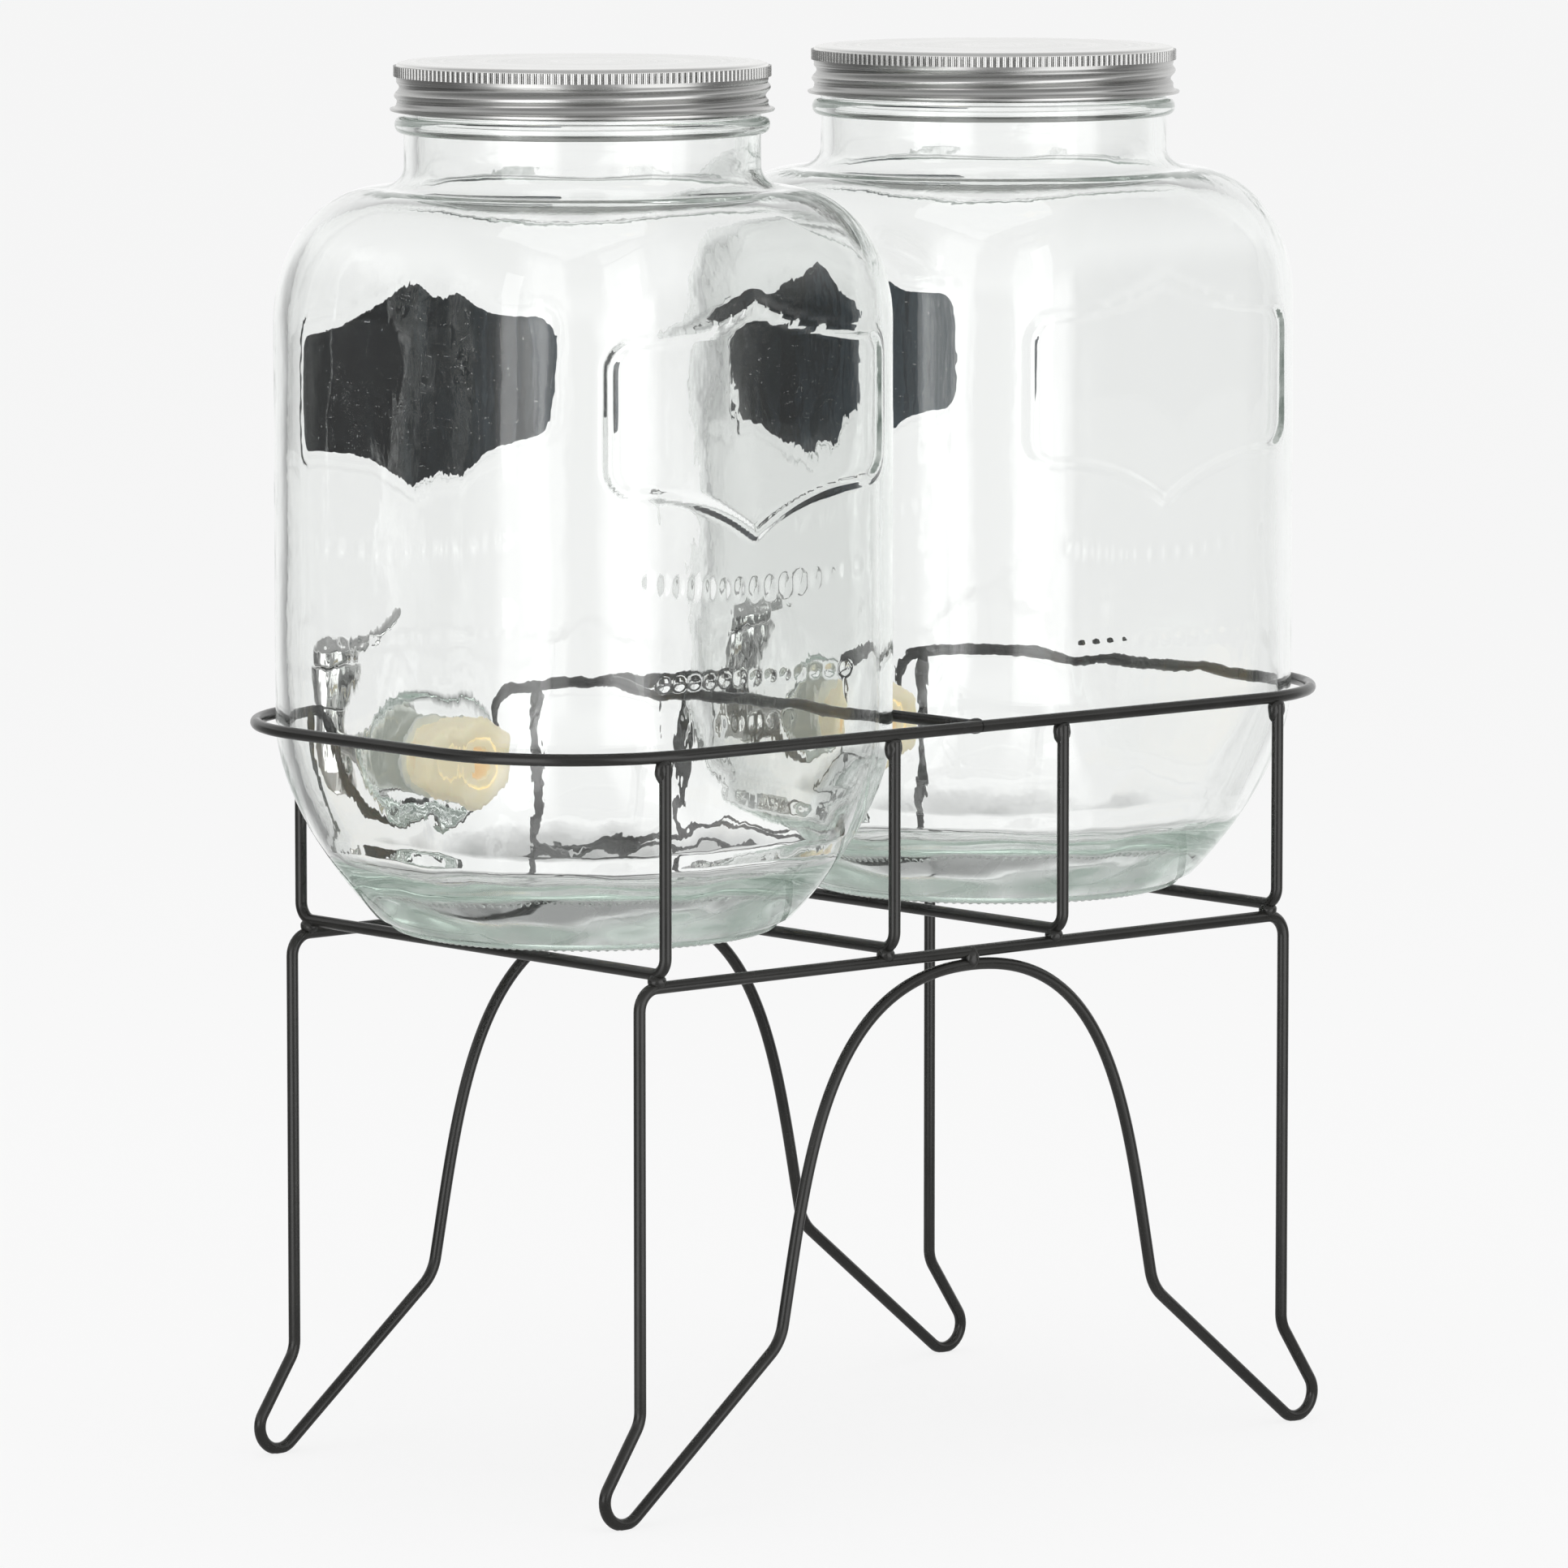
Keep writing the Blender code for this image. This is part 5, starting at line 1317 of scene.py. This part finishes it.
# Shares of the lever's length, width, rise and thickness along its arm
LEVER_STATIONS = (
    (0.1, 0.8, 0.12, 1.15), (0.22, 0.74, 0.17, 1.1), (0.35, 0.68, 0.25, 1.0), (0.5, 0.8, 0.39, 0.9),
    (0.62, 0.95, 0.53, 0.85), (0.75, 1.0, 0.68, 0.85), (0.86, 1.0, 0.82, 0.9), (0.94, 0.92, 0.93, 0.9),
    (0.985, 0.72, 0.985, 0.75), (1.0, 0.4, 1.0, 0.4))
PLUG_TONES = ((0.80, 0.80, 0.78), (0.86, 0.86, 0.84))


def chrome_finish(tap):
    """Bright plating with faint handling marks."""
    finish, graph = new_finish("bright_chrome", Base_Color=tap.chrome, Metallic=1.0, Roughness=0.07)
    marks = graph.speckle(graph.place(), 120.0, 5.0, 0.7)
    graph.feed("Roughness", graph.spread(marks, 0.05, 0.13))
    graph.bump(graph.speckle(graph.place(), 220.0, 2.0), 0.00006, 0.35)
    return finish


def nut_finish(tap):
    """Unpainted cream plastic, slightly see-through and mottled, with a painted glow and painted amber shade
    in its hollows.
    """
    # Painted glow: the emission lightens the nut, which the glass keeps in shade
    finish, graph = new_finish("natural_plastic", Roughness=0.36, Subsurface_Weight=0.3,
                               Subsurface_Scale=0.004, Subsurface_Radius=(1.0, 0.75, 0.45),
                               Emission_Color=(1.0, 0.90, 0.66), Emission_Strength=0.24)
    cloud = graph.speckle(graph.place(), 90.0, 4.0)
    mottled = graph.tone(graph.spread(cloud, 0.0, 1.0), tap.plastic, NUT_CREAM)
    # Painted shade: ambient occlusion turns the hollows amber
    occlusion_shade = graph.add("ShaderNodeAmbientOcclusion", (("Distance", 0.007),), samples=6, only_local=True)
    graph.feed("Base Color", graph.tone(graph.math("POWER", occlusion_shade.outputs["AO"], 1.6), NUT_HOLLOW_SHADE, mottled))
    graph.bump(graph.speckle(graph.place(), 500.0, 3.0), 0.0001, 0.4)
    return finish


def rubber_finish(tap):
    """Grey silicone, slightly cloudy, with a painted glow that lightens it."""
    dark, light = scaled(tap.silicone, 0.92), scaled(tap.silicone, 1.08)
    # Painted glow: the emission lightens the washers, which the glass keeps in shade
    return cloudy_finish("grey_silicone", dark, light, (160.0, 3.0), (160.0, 3.0, 0.00008, 0.4),
                         Roughness=0.55, Emission_Color=(0.90, 0.93, 0.84), Emission_Strength=0.20)


def tap_body_mesh(name, tap, axis, boss, sleeve_start):
    """Barrel, spout, flange and shank as one casting, with chamber and bore."""
    steps, back, flange = tap.round_steps, sleeve_start - axis.y, boss - axis.y - FLANGE_BACK
    barrel = [(POLE, -tap.spout_low), (tap.spout, -tap.spout_low), (tap.spout, -tap.spout_low + 0.0012),
              (tap.barrel, -tap.barrel_low), (tap.barrel, tap.barrel_shoulder),
              (tap.collar, tap.barrel_shoulder), (tap.collar, tap.barrel_top), (POLE, tap.barrel_top)]
    shank = [(POLE, back), (tap.shank, back), (tap.shank, flange), (tap.flange, flange),
             (tap.flange, flange - tap.flange_thickness),
             (tap.flange_neck, flange - tap.flange_thickness * 1.5), (tap.flange_neck, 0.001), (POLE, 0.001)]
    mouth = tap.spout - tap.spout_wall
    chamber = [(mouth, -tap.spout_low - 0.002), (mouth, -tap.chamber_low), (tap.chamber, -tap.chamber_low),
               (tap.chamber, tap.barrel_top + 0.002)]
    body = turned(name, rounded(barrel, EDGE_ROUND), axis, steps)
    stem = turned(name + "_shank", rounded(shank, EDGE_ROUND), axis, steps, along_y=True)
    hollow = turned(name + "_chamber", chamber, axis, steps)
    bore = turned(name + "_bore", [(tap.bore, 0.0), (tap.bore, back + 0.002)], axis, steps, along_y=True)
    return joined(name, body, [(stem, "UNION"), (hollow, "DIFFERENCE"), (bore, "DIFFERENCE")])


def sleeve_mesh(name, tap, axis, start, end):
    """The shank's unplated end, with its D-shaped bore that is flat on its +X side."""
    flat, outer = tap.bore * FLAT_SHARE, tap.shank
    rows = ((tap.bore, flat, start), (outer, outer, start), (outer, outer, end - SOFT_EDGE),
            (outer - SOFT_EDGE, outer, end), (tap.bore + 0.0005, flat + 0.0005, end),
            (tap.bore, flat, end - 0.0005))
    rings = [[Vector((min(radius * cosine, limit) + axis.x, depth, radius * sine + axis.z))
              for cosine, sine in spokes(tap.round_steps)] for radius, limit, depth in rows]
    return loft(name, rings, ring_shaped=True)


def arm_ring(tap, start, reach, wide, rise, thick):
    """One ring of the lever's arm, from its shares of the arm's length, width, rise and thickness."""
    ring = []
    for cosine, sine in spokes(ARM_SIDES):
        across = math.copysign(abs(cosine) ** 0.75, cosine) * tap.lever_width / 2 * wide
        up = sine * tap.lever_thickness / 2 * thick
        ring.append(Vector((-tap.lever_length * reach, across, start + tap.lever_rise * rise + up)))
    return ring


def lever_mesh(name, tap, axis):
    """The lever: a domed hub and an arm that rises to a flat paddle."""
    low = tap.cap_top + TOUCH_GAP
    top = low + tap.hub_height
    hub = [(POLE, low), (tap.hub, low), (tap.hub, top - 0.0022), (tap.hub - 0.0028, top), (POLE, top)]
    body = turned(name, rounded(hub, 0.0012, 5), axis, tap.round_steps)
    start = low + tap.lever_thickness / 2 + TOUCH_GAP
    rings = [[axis + point for point in arm_ring(tap, start, *station)] for station in LEVER_STATIONS]
    arm = loft(name + "_arm", rings)
    bore = tap.stem + TOUCH_GAP
    socket = turned(name + "_socket", [(bore, low - 0.002), (bore, tap.stem_top)], axis, 32)
    return joined(name, body, [(arm, "UNION"), (socket, "DIFFERENCE")])


def cap_mesh(name, tap, axis):
    """The ring nut, hollow over the barrel's collar."""
    hole, skirt = tap.stem + 0.0004, tap.collar + TOUCH_GAP
    low, under = tap.barrel_shoulder + TOUCH_GAP, tap.barrel_top + TOUCH_GAP
    shape = [(skirt, low), (tap.cap, low), (tap.cap, tap.cap_top), (hole, tap.cap_top), (hole, under),
             (skirt, under)]
    return turned(name, rounded(shape, SOFT_EDGE, 4, closed=True), axis, tap.round_steps, ring_shaped=True)


def hexagon_reach(angle, across, softness=0.92):
    """How far a hexagon with softened corners reaches at an angle."""
    from_flat = (angle + math.pi / 6) % (math.pi / 3) - math.pi / 6
    return min(across / 2 / math.cos(from_flat), across / 2 / math.cos(math.pi / 6) * softness + SOFT_EDGE)


def nut_mesh(name, tap, axis, start, end):
    """The plastic nut: a round hub against its washer and a hexagonal end."""
    hole, hub, step_y = tap.shank + TOUCH_GAP, tap.nut_hub, end - tap.nut_hex
    angles = [TURN * step / NUT_SIDES for step in range(NUT_SIDES)]
    rows = [([radius] * NUT_SIDES, depth) for radius, depth in (
        (hole, start), (hub - SOFT_EDGE, start), (hub, start + SOFT_EDGE), (hub, step_y - SOFT_EDGE))]
    rows += [([hexagon_reach(angle, tap.nut_across - trim) for angle in angles], depth) for trim, depth in (
        (0.0016, step_y), (0.0, step_y + 0.0008), (0.0, end - 0.0016), (0.0008, end - 0.0007), (0.003, end))]
    rows += [([radius] * NUT_SIDES, depth) for radius, depth in ((hole + 0.0012, end), (hole, end - 0.0008))]
    rings = [[Vector((axis.x + reach * math.cos(angle), depth, axis.z + reach * math.sin(angle)))
              for reach, angle in zip(reaches, angles)] for reaches, depth in rows]
    return loft(name, rings, ring_shaped=True)


def washer_mesh(name, tap, node):
    """A washer with soft edges in the place of its node."""
    low, high = corners_of(node)
    hole, outer, centre = tap.shank + TOUCH_GAP, (high.x - low.x) / 2, (low + high) / 2
    shape = [(hole, low.y), (outer, low.y), (outer, high.y), (hole, high.y)]
    return turned(name, rounded(shape, SOFT_EDGE, 4, closed=True), Vector((centre.x, 0.0, centre.z)),
                  tap.round_steps, along_y=True, ring_shaped=True)


class DISPENSER_OT_taps(bpy.types.Operator):
    """Make the taps with their levers, nuts and washers"""
    bl_idname = "dispenser.taps"
    bl_label = "Taps"

    def execute(self, context):
        tap = context.scene.dispenser_tap
        chrome, plastic, rubber = chrome_finish(tap), nut_finish(tap), rubber_finish(tap)
        white = cloudy_finish("white_plastic", *PLUG_TONES, (200.0, 3.0), (700.0, 2.0, 0.00005, 0.4),
                              Roughness=0.38)
        for side in SIDES:
            axis, jar = valve_place(side), f"jar_{side}"
            boss = corners_of(f"tap_outer_washer_{side}")[1].y + TOUCH_GAP
            shank_end = corners_of(f"tap_body_{side}")[1].y
            sleeve = shank_end - tap.sleeve
            low, high = corners_of(f"tap_nut_{side}")
            made = [("tap", tap_body_mesh, (tap, axis, boss, sleeve), chrome, jar, "chrome", "tap_body"),
                    ("tap_ring_nut", cap_mesh, (tap, axis), chrome, jar, "chrome", "tap_cap"),
                    ("nut", nut_mesh, (tap, axis, low.y, high.y), plastic, jar, "nut", "tap_nut"),
                    ("shank_end", sleeve_mesh, (tap, axis, sleeve, shank_end), plastic, jar, "nut", "")]
            for word in ("outer", "inner"):
                node = f"tap_{word}_washer"
                sizes = (tap, f"{node}_{side}")
                made.append((f"washer_{word}", washer_mesh, sizes, rubber, jar, "seal", node))
            made.append(("lever", lever_mesh, (tap, axis), chrome, f"valve_{side}", "chrome", "tap_lever"))
            for word, shape, sizes, finish, body, slot, node in made:
                piece = new_piece(f"{word}_{side}", shape(f"{word}_{side}", *sizes), finish)
                settle(piece, body, slot, *([f"{node}_{side}"] if node else []))
            paint_node(f"tap_plug_{side}", white)
            paint_node(f"plug_seal_{side}", rubber)
        return {"FINISHED"}


# Stage

FLOOR_REACH = 40.0
# Brightness of the near floor seen through glass and of the far backdrop, in parts of the backdrop's
# colour, and brightness overhead
NEAR_FLOOR, FAR_BACKDROP, OVERHEAD = 1.09, 0.98, 0.85
# How pale the studio turns through glass, before and after a first reflection
THROUGH_GLASS = (0.88, 0.12)
# Lamps, as seen from the object: towards the camera, to the right of it and up, then width, height, power
LAMPS = {"lamp_overhead": (0.0, 0.0, 1.9, 1.6, 1.6, 10.0), "lamp_left": (1.1, -1.5, 0.5, 0.5, 1.6, 5.0),
         "lamp_right": (1.3, 1.4, 0.5, 0.5, 1.6, 5.0)}
# Brightness round the studio by direction, in degrees from the camera, and what its ramp divides it by
BRIGHTEST = 2.5
STUDIO = ((-180, 1.02), (-152, 0.93), (-132, 0.22), (-114, 0.15), (-90, 0.07), (-80, 0.10), (-70, 0.35),
          (-56, 0.55), (-50, 2.2), (-18, 2.2), (-12, 0.4), (0, 0.3), (20, 0.4), (28, 1.9), (70, 1.9),
          (76, 0.16), (96, 0.10), (106, 0.38), (118, 0.38), (134, 0.93), (180, 1.02))


def seen_directly(graph):
    """1 for what the camera, glass and metal see of the surroundings, else 0."""
    path = graph.add("ShaderNodeLightPath").outputs
    direct = graph.math("MAXIMUM", path["Is Camera Ray"], path["Is Glossy Ray"])
    return graph.math("MAXIMUM", direct, path["Is Transmission Ray"])


def chosen(graph, factor, first, second):
    """A number between two, by a factor."""
    return graph.add("ShaderNodeMix", zip((0, 2, 3), (factor, first, second)), data_type="FLOAT").outputs[0]


def room(graph, vector, towards_camera):
    """Brightness of the studio by direction: pale backdrop, dim room, two soft panels."""
    links = (("Vector", vector), ("Rotation", (0.0, 0.0, -towards_camera)))
    parts = graph.parts(graph.add("ShaderNodeMapping", links, vector_type="POINT").outputs["Vector"])
    turn = graph.math("DIVIDE", graph.math("ARCTAN2", parts["Y"], parts["X"]), TURN)
    ramp = graph.add("ShaderNodeValToRGB", (("Fac", graph.math("ADD", turn, 0.5)),))
    stops = [(degrees / 360.0 + 0.5, (value / BRIGHTEST,) * 3) for degrees, value in STUDIO]
    set_stops(ramp.color_ramp, stops)
    return graph.math("MULTIPLY", ramp.outputs["Color"], BRIGHTEST), parts


def softened(graph, brightness):
    """Pale where glass is looked straight through, and the studio's own contrast where it mirrors."""
    path = graph.add("ShaderNodeLightPath").outputs
    share_out = graph.remap(path["Glossy Depth"], 0.0, 1.0, *THROUGH_GLASS)
    return chosen(graph, graph.math("MULTIPLY", path["Is Transmission Ray"], share_out), brightness, 1.0)


def floor_finish(stage, towards_camera):
    """A pale floor that keeps a soft shadow, and shows glass and metal the studio farther out."""
    finish, graph = new_finish("pale_floor", Base_Color=stage.backdrop, Roughness=0.9)
    pale = stage.backdrop[0]
    far, parts = room(graph, graph.add("ShaderNodeTexCoord").outputs["Object"], towards_camera)
    away = graph.remap(graph.reach(parts), 0.2, 0.6)
    path = graph.add("ShaderNodeLightPath").outputs
    near = chosen(graph, path["Is Glossy Ray"], pale * NEAR_FLOOR, stage.mirrored_floor)
    around = chosen(graph, away, near, softened(graph, far))
    glow = graph.add("ShaderNodeEmission", (("Color", chosen(graph, path["Is Camera Ray"], around, pale)),))
    shown = graph.math("MULTIPLY", seen_directly(graph), 1.0 - stage.shadow)
    amount = graph.math("MAXIMUM", shown, path["Is Transmission Ray"])
    sources = (amount, graph.shader.outputs[0], glow.outputs[0])
    mixed = graph.add("ShaderNodeMixShader", enumerate(sources))
    graph.tree.links.new(mixed.outputs[0], finish.node_tree.nodes["Material Output"].inputs["Surface"])
    return finish


def studio_world(stage, towards_camera):
    """A pale studio: even light, and a picture of itself for the camera, glass and metal."""
    world = bpy.data.worlds.new("pale_studio")
    bpy.context.scene.world = world
    world.use_nodes = True
    graph = Graph(world.node_tree)
    light = world.node_tree.nodes["Background"]
    light.inputs["Color"].default_value = (1.0, 1.0, 1.0, 1.0)
    light.inputs["Strength"].default_value = stage.fill
    around, parts = room(graph, graph.add("ShaderNodeTexCoord").outputs["Generated"], towards_camera)
    around = chosen(graph, graph.remap(parts["Z"], 0.15, 0.32), around, OVERHEAD)
    height = graph.remap(parts["Z"], 0.35, 0.65, 1.0, 0.5)
    around = softened(graph, graph.math("MULTIPLY", around, height))
    camera_ray = graph.add("ShaderNodeLightPath").outputs["Is Camera Ray"]
    shown = chosen(graph, camera_ray, around, stage.backdrop[0] * FAR_BACKDROP)
    picture = graph.add("ShaderNodeBackground", (("Color", shown),))
    sources = (seen_directly(graph), light.outputs[0], picture.outputs[0])
    mixed = graph.add("ShaderNodeMixShader", enumerate(sources))
    graph.tree.links.new(mixed.outputs[0], world.node_tree.nodes["World Output"].inputs["Surface"])


def aimed(name, data, place, aim):
    """A lamp or camera at a place, turned towards a point."""
    thing = linked(name, data)
    thing.location = place
    thing.rotation_euler = (aim - place).to_track_quat("-Z", "Y").to_euler()
    return thing


def add_lamp(name, place, aim, width, height, power):
    """A soft rectangular lamp that lights but isn't seen; the surroundings show the panels."""
    data = bpy.data.lights.new(name, "AREA")
    data.shape = "RECTANGLE"
    data.size, data.size_y = width, height
    data.energy = power
    lamp = aimed(name, data, place, aim)
    lamp.visible_camera = False
    lamp.visible_glossy = False


def add_camera(stage):
    """The camera at the photograph's viewing angle."""
    data = bpy.data.cameras.new("camera")
    data.lens = stage.focal
    data.sensor_width = 36.0
    data.clip_end = 200.0
    place = Vector((stage.camera_x, stage.camera_y, stage.camera_z))
    aim = Vector((stage.aim_x, stage.aim_y, stage.aim_z))
    bpy.context.scene.camera = aimed("camera", data, place, aim)
    return place, aim


def floor_mesh():
    """A level square round the object."""
    mesh = bpy.data.meshes.new("floor")
    corners = [(x * FLOOR_REACH, y * FLOOR_REACH, 0.0) for x, y in ((-1, -1), (1, -1), (1, 1), (-1, 1))]
    mesh.from_pydata(corners, [], [(0, 1, 2, 3)])
    return mesh


class DISPENSER_OT_stage(bpy.types.Operator):
    """Set the floor, the lamps, the surroundings and the camera"""
    bl_idname = "dispenser.stage"
    bl_label = "Stage"

    def execute(self, context):
        stage = context.scene.dispenser_stage
        context.scene.view_settings.view_transform = "Standard"
        place, aim = add_camera(stage)
        towards = (place - aim).normalized()
        side = math.atan2(towards.y, towards.x)
        new_piece("floor", floor_mesh(), floor_finish(stage, side))
        studio_world(stage, side)
        up = Vector((0.0, 0.0, 1.0))
        across = towards.cross(up).normalized()
        for name, (near, right, high, width, height, power) in LAMPS.items():
            spot = aim + towards * near + across * right + up * high
            add_lamp(name, spot, aim, width, height, power)
        return {"FINISHED"}


class DISPENSER_PT_pieces(bpy.types.Panel):
    """Lists the dispenser's pieces"""
    bl_idname = "DISPENSER_PT_pieces"
    bl_label = "Dispenser"
    bl_space_type = "VIEW_3D"
    bl_region_type = "UI"
    bl_category = "Dispenser"

    def draw(self, context):
        for operator in OPERATORS:
            self.layout.operator(operator.bl_idname)


SETTINGS = {"dispenser_stand": StandSettings, "dispenser_jar": JarSettings, "dispenser_lid": LidSettings,
            "dispenser_tap": TapSettings, "dispenser_stage": StageSettings}
OPERATORS = (DISPENSER_OT_stage, DISPENSER_OT_stand, DISPENSER_OT_jars, DISPENSER_OT_lids, DISPENSER_OT_taps)
CLASSES = (*SETTINGS.values(), *OPERATORS, DISPENSER_PT_pieces)


def register():
    """Make the settings, operators and panel known to Blender."""
    for item in CLASSES:
        bpy.utils.register_class(item)
    for name, group in SETTINGS.items():
        setattr(bpy.types.Scene, name, PointerProperty(type=group))


def unregister():
    """Take them away again."""
    for name in SETTINGS:
        delattr(bpy.types.Scene, name)
    for item in reversed(CLASSES):
        bpy.utils.unregister_class(item)


def main():
    """Build every piece."""
    register()
    bpy.ops.dispenser.stage()
    bpy.ops.dispenser.stand()
    bpy.ops.dispenser.jars()
    bpy.ops.dispenser.lids()
    bpy.ops.dispenser.taps()


if __name__ == "__main__":
    main()
